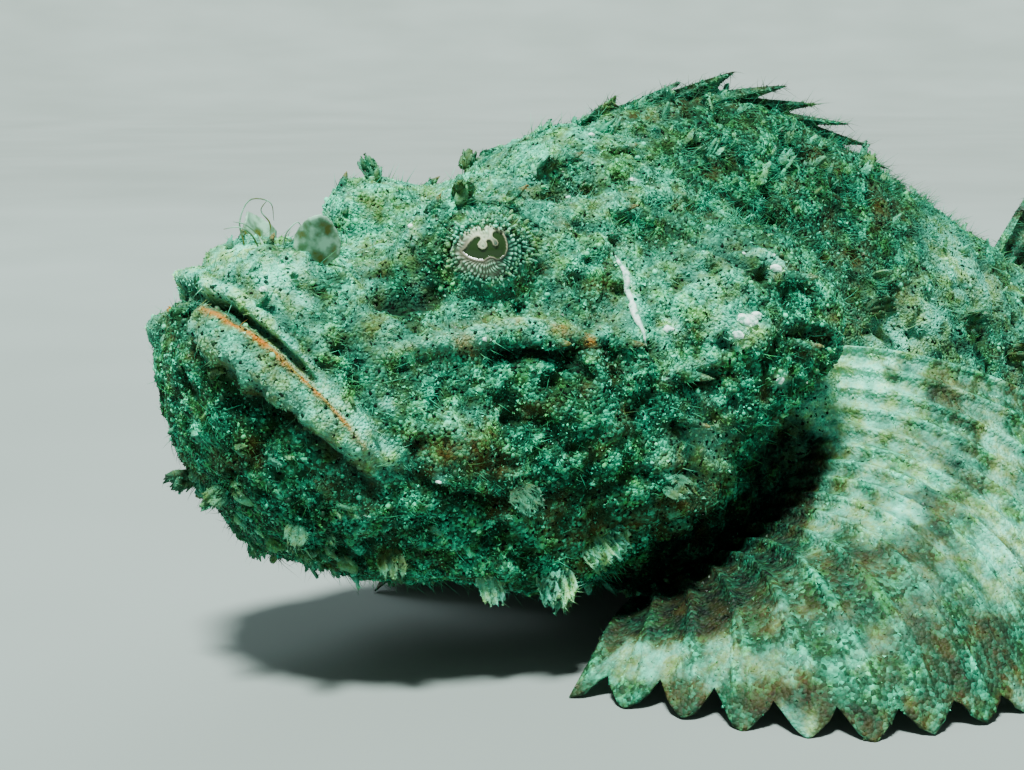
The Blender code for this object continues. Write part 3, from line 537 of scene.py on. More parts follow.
SPOTS = (  # pixels and half width in mm of single spots, and how pale they are: pale sand and shell, and painted sunlight on the snout's top and on the flank
    ((238, 252), 3.0, 1.0), ((206, 284), 1.6, 1.0), ((272, 280), 2.3, 1.0), ((196, 272), 1.8, 0.7),
    ((184, 322), 1.5, 0.6), ((300, 300), 1.4, 0.7), ((214, 290), 1.6, 0.8), ((236, 352), 1.2, 0.4),
    ((212, 262), 2.6, 0.8), ((284, 268), 2.6, 0.9), ((256, 250), 2.6, 0.8), ((264, 318), 2.0, 0.6),
    ((700, 440), 4.0, 0.3), ((256, 266), 2.4, 0.7), ((212, 258), 1.6, 0.5),
    ((776, 268), 0.9, 1.0), ((748, 326), 1.5, 1.0), ((736, 338), 1.0, 0.9), ((668, 330), 1.3, 0.85),
    ((780, 380), 0.8, 1.0), ((632, 182), 0.5, 1.0), ((590, 138), 0.8, 0.8), ((696, 92), 0.8, 0.8),
    ((760, 106), 0.8, 1.0), ((566, 188), 0.5, 0.9), ((520, 136), 1.4, 0.4), ((438, 480), 0.5, 0.9),
    ((388, 402), 0.9, 0.6), ((420, 284), 0.8, 0.3), ((560, 262), 1.4, 0.2), ((300, 254), 1.5, 0.35),
    ((704, 280), 5.5, 0.3), ((722, 322), 2.6, 0.5), ((412, 232), 1.2, 0.6), ((402, 250), 1.6, 0.3),
    ((476, 336), 1.0, 0.5), ((490, 330), 1.0, 0.5), ((330, 262), 1.2, 0.3), ((430, 205), 4.0, 0.25),
    ((360, 205), 4.0, 0.3), ((950, 258), 5.2, 1.0), ((985, 288), 4.0, 0.8), ((926, 320), 4.0, 0.8),
    ((898, 352), 4.6, 1.0), ((880, 396), 4.6, 0.9),
)
SPOT_LIFT = 0.12  # mm
for pixels, width, lift, tint in FOLDS:
    press(seen(pixels), width, lift, **tint)
for pixel, width, amount in SPOTS:
    press(seen((pixel, (pixel[0] + 3, pixel[1]))), width, SPOT_LIFT, pale=amount)
print(len(FOLDS), "folds and", len(SPOTS), "spots pressed on both sides")

# %% [markdown]
# Behind the gill cover and under the head the photograph is black. No lamp can be kept out of there alone,
# so skin and fins are darkened where the camera sees them inside that outline, except where something
# nearer hides them from it.

# %% Painted shade in the dark hollow
def signed_distance(points, outline):
    """Distance of flat points from a closed outline, less than 0 inside it."""
    ring = np.array(outline, float)
    ends = np.roll(ring, -1, axis=0)
    inside, best = np.zeros(len(points), bool), np.full(len(points), 1e9)
    for a, b in zip(ring, ends):
        share = np.clip((points - a) @ (b - a) / ((b - a) @ (b - a)), 0, 1)
        best = np.minimum(best, np.linalg.norm(points - a - share[:, None] * (b - a), axis=1))
        crosses = (a[1] > points[:, 1]) != (b[1] > points[:, 1])
        where = a[0] + (points[:, 1] - a[1]) / (b[1] - a[1] + 1e-12) * (b[0] - a[0])
        inside ^= crosses & (points[:, 0] < where)
    return np.where(inside, -best, best)


HOLLOW = (  # pixels round the black hollow behind the gill cover and under the head
    (800, 414), (828, 438), (830, 462), (820, 494), (808, 534), (800, 566), (766, 590), (716, 640), (380, 640),
    (380, 606), (550, 596), (632, 566), (664, 530), (704, 508), (736, 496), (740, 470), (762, 440), (786, 424),
)


HOLLOW_EDGE, IN_FRONT = 12, 1.5  # pixels over which it fades, and mm off a point before a ray may hit


def hollow_shade_at(points):
    """How far inside the hollow's outline the camera sees each straight point, mirrored to the left: the share of
    painted shade.
    """
    left = points * (1, 1, 1)
    left[:, 1] = -np.abs(left[:, 1])
    row = bend(left)
    away = (row * MM - np.array(camera.location)) @ np.array(camera.rotation_euler.to_matrix())
    pixels = away[:, :2] / -away[:, 2:] * (LENS / SENSOR * IMAGE[0]) * (1, -1) + np.array(IMAGE) / 2
    share = np.clip(0.4 - signed_distance(pixels, HOLLOW) / HOLLOW_EDGE, 0, 1)
    for k in np.flatnonzero(share):
        ray = (camera.location / MM - Vector(row[k])).normalized()
        if skin_tree.ray_cast(Vector(row[k]) + ray * IN_FRONT, ray)[0]:
            share[k] = 0
    return share


hollow_shade = hollow_shade_at(straight)
print("points of the skin in the hollow:", int((hollow_shade > 0.5).sum()))

# %% [markdown]
# Now the regions: how pale, how dark and how rough each part of the skin is. The belly is pale, the back
# dark, the chin and the underside darkened by their own colour and by painted shade, and the flank carries
# broken bars. All of this is worked out on the straight fish, once, and stored on the points, so that the
# coat can take the same markings from the same place.

# %% Regions, lumps and warts
s, side, z = straight.T


def bump_at(place, radius):
    """1 at a straight place, fading to 0 over the radius, alike on both sides."""
    away = np.linalg.norm(straight - place, axis=1)
    other = np.linalg.norm(straight - np.array(place) * (1, -1, 1), axis=1)
    return np.exp(-(np.minimum(away, other) / radius) ** 2)


def rough(points, size, octaves=3, offset=0.0):
    """Fractal noise of a feature size in mm, for each point."""
    move = Vector((offset, 0, 0))
    return np.array([noise.fractal(Vector(p) / size + move, 1.0, 2.0, octaves) for p in points])


def cells(points, size):
    """Distance to the nearest and to the second nearest of scattered points, in cell sizes."""
    return np.array([noise.voronoi(Vector(p) / size)[0][:2] for p in points])


lumps = rough(straight, 6.5, 3)
crumbs = rough(straight, 2.2, 3, 40)
pits = np.clip(rough(straight, 3.0, 2, 210) - 0.22, 0, 0.5) / 0.5
warts = cells(straight, 2.0)
wart = np.clip(1 - warts[:, 0] * 1.5, 0, 1) * np.clip(0.6 + 1.6 * rough(straight, 9, 2, 7), 0, 1)
smooth = 1 - 0.85 * np.clip(tints["calm"], 0, 1)
orbit = bump_at((32.3, 16.0, 51.4), 5.5)  # the skin round the eye stays even
height += smooth * (0.6 * lumps + 0.42 * crumbs + 0.5 * wart - 1.3 * pits) * (1 - 0.7 * orbit)
LOWEST, HIGHEST = -2.8, 1.5  # mm
height = np.clip(height, LOWEST, HIGHEST)
FAR_SIDE = (  # place, radius and rise in mm: the far brow stands forward and the far end of the lip hangs
    ((26, 10.5, 56), 4.6, 2.3), ((38.5, 10.5, 60), 4.0, -1.1),
    ((-0.8, 6.2, 45.6), 3.4, -2.4), ((0.5, 10, 45.4), 3.2, -1.6),
)
for centre, radius, rise in FAR_SIDE:
    height += rise * np.exp(-(np.linalg.norm(straight - centre, axis=1) / radius) ** 2)
relief = np.clip(0.5 + 0.5 * crumbs + 0.4 * wart + 0.25 * height - 0.6 * pits, 0, 1)
creased = tints["dark"].copy()  # the pressed grooves stay clean of sand and weed
brown = np.clip(rough(straight, 5.0, 3, 300) - 0.12, 0, 0.5)
print("skin stands", height.min().round(2), "to", height.max().round(2), "mm about its base")


# %% Light and dark regions
def deepen(name, amount):
    """Raises a tint to an amount where it is less."""
    tints[name] = np.maximum(tints[name], amount)


# Painted shade in the pits: they are tinted darker.
deepen("dark", 0.5 * pits * smooth)
deepen("rust", 0.8 * brown * smooth)
bars = np.clip(0.5 + 1.4 * rough(straight * (1, 0.5, 0.35), 17, 2, 90), 0, 1)
rear = np.clip((s - 70) / 30, 0, 1)
deepen("dark", np.clip((z - 40) / 30, 0, 0.32) * rear * 1.4)
chin = np.clip((26 - s) / 14, 0, 1) * np.clip((33 - z) / 12, 0, 1)
turf = np.clip((s - 50) / 18, 0, 1) * np.clip((z - 42) / 12, 0, 1)  # the back is overgrown
under = np.clip((16 - z) / 10, 0, 1)
# Painted shade fills the hollow behind the gill cover, and the pale tint gives way to it.
deepen("dark", hollow_shade)
tints["pale"] *= 1 - hollow_shade
# The chin and the underside are darker, partly in their own colour and partly as painted shade under the head.
deepen("dark", np.maximum(0.55 * chin, np.maximum(0.42 * turf, 0.5 * under)) * smooth)
deepen("dark", 0.45 * bars * rear)
deepen("pale", 0.6 * (1 - bars) * rear * np.clip((34 - np.abs(z - 20)) / 30, 0, 1) * 0.7)
base_of_fin = bump_at((84, 19, 26), 9)
deepen("pale", 0.75 * base_of_fin * np.clip(0.9 + lumps, 0, 1))
normals = read(skin.data, "vertex_normals", "vector")
facing_up = np.clip(normals[:, 2] - 0.15, 0, 1) * (1 - turf) * np.clip(0.6 + 1.2 * rough(straight, 5, 3, 510), 0, 1)
deepen("pale", 0.42 * facing_up)  # paler where the skin faces up
tints = {name: np.clip(values, 0, 1) for name, values in tints.items()}
shaped = held(base + normals * height[:, None])
skin.data.vertices.foreach_set("co", (shaped * MM).astype(np.float32).ravel())
skin.data.update()
skin.data.shade_smooth()

print("mean tints:", {name: round(float(values.mean()), 2) for name, values in tints.items()})

# %% [markdown]
# The coat needs three more fields: how thick the sand lies, how thick the weed, and where each point lies
# on the body unrolled round its long axis, from which grains and filaments take their place on the map.

# %% Where sand and weed grow
UNROLLED, AXIS_HEIGHT, AXIS_FALL = 220, 30, 0.06  # mm, mm and mm for each mm back
axis = AXIS_HEIGHT - AXIS_FALL * s
unwrap = np.stack([s / UNROLLED, 0.5 + np.arctan2(side, z - axis) / math.tau, 0 * s], 1)
patchy = np.clip(0.75 + 1.3 * rough(straight, 4.5, 3, 410), 0.15, 1)
bare = (1 - 0.75 * tints["calm"]) * (1 - 0.35 * turf) * (1 - 0.85 * hollow_shade) * (1 - 0.6 * creased)
grainy = np.clip(patchy * bare, 0.06, 1)
tuft = np.clip(0.25 + 1.9 * rough(straight, 3.2, 2, 130), 0, 1)
fuzzy = tuft * (0.25 + 0.35 * rear + 0.5 * turf + 0.7 * chin + 0.5 * under + 0.3 * (s < 14) + 0.4 * (z > 53))
fuzzy = fuzzy * (1 - tints["calm"]) * (1 - 0.9 * orbit) * (1 - 0.85 * creased)
fields = {**tints, "relief": relief, "unwrap": unwrap, "grainy": grainy, "fuzzy": np.clip(fuzzy, 0, 1)}
for name, values in fields.items():
    keep_field(skin.data, name, values)
print("sand and weed grow at", grainy.mean().round(2), "and", fuzzy.mean().round(2), "of their full density")

# %% [markdown]
# ## The colours of a stone
# Skin, fins and coat share one set of markings: a mottle of dark green, grey green and pale mint, with
# the stored tints on top. One function adds those nodes to a material, so that all of them agree. Grain
# by grain differences come from the coat's own random number.

# %% Markings and the skin's material
# DEEP colours the dark tint, for dark markings and for painted shade alike; PALE colours the pale tint, for pale sand
# and for painted light.
DEEP, DARK, MID, LIGHT, BRIGHT, PALE = "#010b07", "#123f2b", "#2b775d", "#3fbd98", "#6cf2cb", "#a8ffe6"
RUST, ORANGE = "#775630", "#c47a2c"
FINE_RELIEF = 0.0003  # m, the height of the finest grain, which is drawn in the materials


def material(name, shine=0.5):
    """A material, its tree and its shader. The dull crust of sand and slime shines less than clean skin."""
    made = bpy.data.materials.new(name)
    made.use_nodes = True
    shader = made.node_tree.nodes["Principled BSDF"]
    shader.inputs["Specular IOR Level"].default_value = shine
    return made, made.node_tree, shader


def finish(tree, shader, colour, roughness, relief=None, strength=0.7):
    """Gives a shader its colour, its roughness and the finest relief of its surface."""
    tree.links.new(colour, shader.inputs["Base Color"])
    shader.inputs["Roughness"].default_value = roughness
    if relief:
        bump = add(tree, "ShaderNodeBump", {"Height": relief, "Strength": strength, "Distance": FINE_RELIEF})
        tree.links.new(bump.outputs["Normal"], shader.inputs["Normal"])


def markings(tree, shift=None, own=None):
    """The fish's colours as a socket: mottling moved lighter or darker by shift, then the tints.

    own is a random number for each grain, so that dark specks show also among pale sand.
    """
    place = add(tree, "ShaderNodeTexCoord").outputs["Object"]
    # 9 mm blotches and 1.6 mm flecks
    blotch = add(tree, "ShaderNodeTexNoise", {"Vector": place, "Scale": 110.0, "Detail": 3.0}).outputs[0]
    fleck = add(tree, "ShaderNodeTexNoise", {"Vector": place, "Scale": 620.0, "Detail": 4.0, "Roughness": 0.65})
    tone = add(tree, "ShaderNodeMix", {0: 0.6, 2: blotch, 3: fleck.outputs[0]}).outputs[0]
    if shift:
        tone = add(tree, "ShaderNodeMath", {0: tone, 1: shift}, operation="ADD").outputs[0]
    colour = add(tree, "ShaderNodeValToRGB", {"Fac": tone}, stops=(
        (0.34, DARK), (0.5, MID), (0.65, LIGHT), (0.82, BRIGHT))).outputs["Color"]
    # The dark tint paints dark markings and shade, the pale tint pale sand and painted light.
    for name, tint, least, most in (
            ("rust", RUST, 0.45, 0.8), ("pale", PALE, 0.62, 1.0), ("dark", DEEP, 0.6, 1.0),
            ("orange", ORANGE, 1, 1)):
        amount = add(tree, "ShaderNodeAttribute", attribute_name=name).outputs["Fac"]
        uneven = add(tree, "ShaderNodeMapRange", {
            "Value": fleck.outputs[0], "From Min": 0.35, "From Max": 0.62, "To Min": least, "To Max": most,
        }).outputs["Result"]
        amount = add(tree, "ShaderNodeMath", {0: amount, 1: uneven}, operation="MULTIPLY").outputs[0]
        colour = add(tree, "ShaderNodeMix", {0: amount, 6: colour, 7: linear(tint)}, data_type="RGBA").outputs[2]
    # 3 mm patches lean to blue green or to olive
    hue = add(tree, "ShaderNodeTexNoise", {"Vector": place, "Scale": 330.0, "Detail": 5.0, "Roughness": 0.7}).outputs[0]
    hue = add(tree, "ShaderNodeValToRGB", {"Fac": hue}, stops=(
        (0.38, "#b4fff6"), (0.47, "#dafff2"), (0.54, "#fff8d4"), (0.63, "#ffdf98"))).outputs["Color"]
    colour = add(tree, "ShaderNodeMix", {0: 1.0, 6: colour, 7: hue}, data_type="RGBA", blend_type="MULTIPLY").outputs[2]
    if own:
        speck = add(tree, "ShaderNodeValToRGB", {"Fac": own}, stops=(
            (0.0, "#2c3a34"), (0.06, "#34443c"), (0.1, "#e6efea"), (0.8, "#ffffff"))).outputs["Color"]
        colour = add(tree, "ShaderNodeMix", {0: 1.0, 6: colour, 7: speck}, data_type="RGBA", blend_type="MULTIPLY")
        colour = colour.outputs[2]
    return colour, place


# Scaleless leathery skin packed with fine sand: dull and darker than the grains that stand on it.
sandy_skin, tree, shader = material("sand_covered_skin", 0.1)
relief_here = add(tree, "ShaderNodeAttribute", attribute_name="relief").outputs["Fac"]
# Low relief is painted darker: painted shade in the skin's pits and grooves.
crevice_shade = add(tree, "ShaderNodeMapRange", {"Value": relief_here, "To Min": -0.3, "To Max": 0.1}).outputs["Result"]
place = add(tree, "ShaderNodeTexCoord").outputs["Object"]
# 0.35 mm sand grains: each cell is one grain, lighter or darker than the next
grit = add(tree, "ShaderNodeTexVoronoi", {"Vector": place, "Scale": 2800.0})
one, two = add(tree, "ShaderNodeSeparateColor", {"Color": grit.outputs["Color"]}).outputs[:2]
each = add(tree, "ShaderNodeMapRange", {"Value": one, "To Min": -0.2, "To Max": 0.2}).outputs["Result"]
shift = add(tree, "ShaderNodeMath", {0: crevice_shade, 1: each}, operation="ADD").outputs[0]
colour, place = markings(tree, shift, own=two)
round_grain = add(tree, "ShaderNodeMath", {0: 1.0, 1: grit.outputs["Distance"]}, operation="SUBTRACT").outputs[0]
fine = add(tree, "ShaderNodeTexNoise", {"Vector": place, "Scale": 3200.0, "Detail": 3.0}).outputs[0]
rise = add(tree, "ShaderNodeMath", {0: round_grain, 1: fine}, operation="ADD").outputs[0]
finish(tree, shader, colour, 0.8, rise, 0.9)
skin.data.materials.clear()
skin.data.materials.append(sandy_skin)
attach(skin, "root")
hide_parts(*FLESH)
print("skin stands for", ", ".join(FLESH))

# %% [markdown]
# ## The eyes
# A scorpionfish's eye is skin too: fibres run out from the pupil like the gills of a mushroom, and the
# pupil is a dark slot with a curled flap hanging into it from above. The ball is a dense polar mesh round
# the line of sight, close at the front, so that the outline of the pupil and the fibres are real relief.
# Which points lie in the pupil is stored, and the material makes them glossy.

# %% Eyes
EYE_LOOK = Vector((-0.44, 0.89, 0.13)).normalized()
EYE_RINGS, EYE_SPOKES, CLOSER = 100, 240, 1.6  # the rings lie closer towards the front
BEADS, BEAD_ROW, BEAD_RISE, SUNK = 19, 0.55, 0.34, 0.24  # beads in half a turn, and mm
PUPIL = (  # the outline in mm right of and above the line of sight
    (-2.95, 0.10), (-2.55, 0.45), (-2.2, 1.0), (-1.7, 1.55), (-1.2, 1.85), (-0.85, 1.8), (-0.72, 1.5), (-0.95, 1.2),
    (-1.15, 0.9), (-1.02, 0.5), (-0.65, 0.25), (-0.25, 0.32), (0.02, 0.62), (0.0, 0.95), (-0.12, 1.2), (0.05, 1.42),
    (0.4, 1.42), (0.62, 1.15), (0.72, 0.8), (1.0, 0.6), (1.3, 0.72), (1.38, 1.05), (1.22, 1.4), (0.9, 1.6),
    (0.66, 1.85), (0.7, 2.25), (1.0, 2.5), (1.4, 2.5), (1.85, 2.2), (2.15, 1.6), (2.32, 0.9), (2.3, 0.25),
    (2.05, -0.4), (1.6, -0.8), (1.2, -0.85), (0.8, -0.62), (0.3, -0.55), (-0.1, -0.75), (-0.45, -1.02),
    (-1.0, -0.98), (-1.6, -0.85), (-2.2, -0.6), (-2.65, -0.25),
)


def eye_frame():
    """The left eye's centre and its line of sight, right and up, in straight millimetres."""
    look = Vector((EYE_LOOK.x, -EYE_LOOK.y, EYE_LOOK.z))
    right = (-look).cross(Vector((0, 0, 1))).normalized()
    up = right.cross(-look)
    return EYE_CENTRE * (1, -1, 1), *(np.array(a) for a in (look, right, up))


def polar_faces(rings, spokes):
    """Faces of a ball of rings between two poles."""
    faces = [(0, 1 + k, 1 + (k + 1) % spokes) for k in range(spokes)]
    for i in range(rings - 3):
        first = 1 + i * spokes
        for k in range(spokes):
            m = (k + 1) % spokes
            faces.append((first + k, first + spokes + k, first + spokes + m, first + m))
    last, first = 1 + (rings - 2) * spokes, 1 + (rings - 3) * spokes
    return faces + [(last, first + (k + 1) % spokes, first + k) for k in range(spokes)]


def eye(name, mirrored):
    """A ball with beads of skin in rings round the pupil, which is sunk a little, and its fields."""
    centre, look, right, up = eye_frame()
    tilt = math.pi * np.linspace(0, 1, EYE_RINGS) ** CLOSER
    turn = np.linspace(0, math.tau, EYE_SPOKES, endpoint=False)
    tilt, turn = (a.ravel() for a in np.meshgrid(tilt[1:-1], turn, indexing="ij"))
    tilt, turn = np.concatenate([[0], tilt, [math.pi]]), np.concatenate([[0], turn, [0]])
    flat = EYE_RADIUS * np.stack([np.sin(tilt) * np.cos(turn), np.sin(tilt) * np.sin(turn)], 1)
    away = np.where(tilt < 1.2, signed_distance(flat, PUPIL), 9.0)
    out = np.hypot(flat[:, 0], flat[:, 1])
    wave = np.array([noise.noise((x * 0.9, y * 0.9, 3.0)) for x, y in flat])
    rows = 0.5 + 0.5 * np.sin(out * math.tau / BEAD_ROW + 5 * wave)
    beads = np.abs(np.sin(turn * BEADS + 4 * wave)) ** 0.8 * (0.35 + 0.65 * rows)
    ring = np.clip((away - 0.2) / 0.5, 0, 1) * (tilt < 1.6)
    rise = ring * BEAD_RISE * beads
    rise += 0.1 * np.exp(-((away - 0.12) / 0.12) ** 2) - 0.14 * np.clip(-away / 0.15, 0, 1)
    radius = EYE_RADIUS - SUNK + rise
    body = np.cos(tilt)[:, None] * look + (np.sin(tilt) * np.cos(turn))[:, None] * right
    body = body + (np.sin(tilt) * np.sin(turn))[:, None] * up
    points, faces = bend(centre + body * radius[:, None]), polar_faces(EYE_RINGS, EYE_SPOKES)
    if mirrored:
        points[:, 1] *= -1
        faces = [tuple(reversed(f)) for f in faces]
    obj = mesh_object(name, points, faces)
    keep_field(obj.data, "pupil", np.clip(0.5 - away / 0.06, 0, 1))
    patchy_rim = np.clip(0.3 + flat[:, 1] * 0.2 + 0.5 * wave, 0.05, 0.65)
    keep_field(obj.data, "rim", np.exp(-((away - 0.06) / 0.06) ** 2) * patchy_rim)
    keep_field(obj.data, "fibre", beads * ring)
    # The ball's upper part is painted paler, as lit from above.
    lit_above = np.clip(0.18 + flat[:, 1] * 0.26 - np.abs(flat[:, 0] + 0.6) * 0.25, 0, 0.5)
    keep_field(obj.data, "upper", lit_above * (away < 2))
    keep_field(obj.data, "pink", np.clip(0.2 - flat[:, 0] * 0.15 - flat[:, 1] * 0.1, 0, 0.35))
    keep_field(obj.data, "edge", np.clip((out - 3.4) / 1.4, 0, 0.8) * (1 - 0.6 * beads))
    obj.data.shade_smooth()
    return obj


# A living eye: the pupil is clear and wet, so it is dark and mirrors the lamps, and the ring is matt skin.
living_eye, tree, shader = material("living_eye", 0.3)
facts = {n: add(tree, "ShaderNodeAttribute", attribute_name=n).outputs["Fac"]
         for n in ("pupil", "rim", "fibre", "upper", "pink", "edge")}
place = add(tree, "ShaderNodeTexCoord").outputs["Object"]
cloud = add(tree, "ShaderNodeTexNoise", {"Vector": place, "Scale": 900.0, "Detail": 3.0}).outputs[0]
lit = add(tree, "ShaderNodeMath", {0: facts["fibre"], 1: cloud}, operation="MULTIPLY").outputs[0]
colour = add(tree, "ShaderNodeValToRGB", {"Fac": lit}, stops=(
    (0.0, "#08281d"), (0.15, "#1f5a46"), (0.34, "#5cb08d"), (0.58, "#b6ecd2"))).outputs["Color"]
for fact, tint in (("pink", "#a99f88"), ("edge", "#2b6b50"), ("upper", "#dcedc4"), ("rim", "#c2bd98"),
                   ("pupil", "#22361c")):
    colour = add(tree, "ShaderNodeMix", {0: facts[fact], 6: colour, 7: linear(tint)}, data_type="RGBA").outputs[2]
tree.links.new(colour, shader.inputs["Base Color"])
gloss = add(tree, "ShaderNodeMapRange", {"Value": facts["pupil"], "To Min": 0.55, "To Max": 0.08}).outputs["Result"]
tree.links.new(gloss, shader.inputs["Roughness"])

for side_name, mirrored in (("left", False), ("right", True)):
    ball = eye(f"living_eye_{side_name}", mirrored)
    ball.data.materials.append(living_eye)
    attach(ball, "root")
    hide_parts(f"eye_{side_name}")
print("each eye:", len(ball.data.polygons), "faces")

# %% [markdown]
# The ball isn't seen whole. Sandy lids close over it above and below, down to an opening wider than high,
# with a scalloped edge. They are a ring laid from the opening out to the skin, a little thick, and take
# the skin's tints where they meet it.

# %% Lids
root_finder = search_tree(shaped)
LID_OPENING, LID_REACH = (4.6, 3.5), (7.4, 6.4)  # half width and half height of each, mm
LID_CLEAR, SCALLOPS = 0.28, 23  # mm over the ball, and scallops in half a turn


def lids(name, mirrored):
    """A ring of skin from the opening over the ball out to the skin round it."""
    spokes, rows = 144, 18
    centre, look, right, up = eye_frame()
    turn = np.linspace(0, math.tau, spokes, endpoint=False)
    uneven = np.array([noise.noise((math.cos(a) * 2, math.sin(a) * 2, 8)) for a in turn])
    scallop = 1 + 0.035 * np.abs(np.sin(turn * SCALLOPS)) + 0.05 * uneven
    shell, corners = [], []
    for a, ripple in zip(turn, scallop):
        inner, outer = ((w * math.cos(a) * right + h * math.sin(a) * up) for w, h in (LID_OPENING, LID_REACH))
        inner = inner / ripple
        height_here = math.sqrt((EYE_RADIUS + LID_CLEAR) ** 2 - inner @ inner)
        start = centre + inner + look * height_here
        above = Vector(bend(centre + outer + look * 12)[0])
        place, _, face, _ = root_finder.ray_cast(above, -Vector(look))
        if place is None:
            place, _, face, _ = root_finder.find_nearest(above)
        end = unbend(place)[0] - look * 0.55
        reach = np.linalg.norm(end - start)
        along_ball = unit(inner) * height_here - look * np.linalg.norm(inner)
        first, second = start + unit(along_ball) * reach * 0.38, end + look * 0.5 - unit(outer) * reach * 0.28
        q = np.linspace(0, 1, rows)[:, None]
        shell.append((1 - q) ** 3 * start + 3 * q * (1 - q) ** 2 * first + 3 * q * q * (1 - q) * second + q**3 * end)
        corners.append(skin.data.polygons[face].vertices[0])
    shell = np.array(shell)
    away = shell - centre
    away /= np.linalg.norm(away, axis=2)[:, :, None]
    bumps = rough(shell.reshape(-1, 3), 1.5).reshape(spokes, rows)
    inside = shell - away * (0.3 + 0.5 * np.linspace(0, 1, rows))[None, :, None]
    outside = shell + away * (0.12 + 0.3 * bumps * np.linspace(0.2, 1, rows))[:, :, None]
    points = np.concatenate([outside, inside[:, ::-1]], 1)
    loop = 2 * rows
    faces = []
    for i in range(spokes):
        first, after = i * loop, (i + 1) % spokes * loop
        faces += [(first + j, first + (j + 1) % loop, after + (j + 1) % loop, after + j) for j in range(loop)]
    points, corners = bend(points.reshape(-1, 3)), np.repeat(corners, loop)
    if mirrored:
        points[:, 1] *= -1
    obj = mesh_object(name, points, faces)
    outward_faces(obj.data)
    share = np.tile(np.concatenate([np.linspace(0, 1, rows), np.linspace(1, 0, rows)]), spokes)
    for field, values in {
            **{name: whole[corners] for name, whole in fields.items()},
            "dark": 0.25 * (1 - share), "pale": 0.12 * (1 - share), "rust": 0.1 + 0 * share, "calm": 0 * share,
            "relief": np.clip(0.5 + 0.8 * np.repeat(bumps, 2, 1).reshape(-1)[: len(share)], 0, 1),
            "grainy": np.clip(0.35 + share, 0, 1), "fuzzy": 0.15 + 0 * share}.items():
        keep_field(obj.data, field, values)
    obj.data.materials.append(sandy_skin)
    obj.data.shade_smooth()
    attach(obj, "root")
    return obj


lid_objects = [lids("eyelids_left", False), lids("eyelids_right", True)]
print("lids:", [len(lid.data.polygons) for lid in lid_objects], "faces")

# %% [markdown]
# ## The fins
# A fin is a thin skin on jointed rays that fork towards the edge. The solids give each fin as a fan of
# ridges, and the same lines are drawn here with many columns between two rays: the ray is a round rib,
# forked past its middle, and the skin between sags and is torn a little at the edge. The sheet is one
# closed mesh with two faces. The lower rays of the pectoral fin are stout and end in free tips, because
# the fish props and walks on them.

# %% Fin sheets
RAY_TIP, WEB, THINNEST = 0.3, 0.1, 1e-9  # mm


def sheet_rim(columns, rows):
    """The points round the edge of a grid whose columns are stored one after the other."""
    rim = [k * rows for k in range(columns)] + [(columns - 1) * rows + k for k in range(1, rows)]
    return rim + [k * rows + rows - 1 for k in range(columns - 2, -1, -1)] + list(range(rows - 2, 0, -1))


def rim_faces(rim, size):
    """Faces that close a sheet's two sides along their rim, the second side's points after the first's."""
    return [(m, k, k + size, m + size) for k, m in zip(rim, rim[1:] + rim[:1])]


def across_rays(values, at):
    """Values of the rays read between them, smoothly."""
    n = len(values)
    i = np.clip(at.astype(int), 0, n - 2)
    t = (at - i).reshape(-1, *[1] * (values.ndim - 1))
    slope = np.gradient(values, axis=0)
    return eased(t, values[i], slope[i], values[i + 1], slope[i + 1])


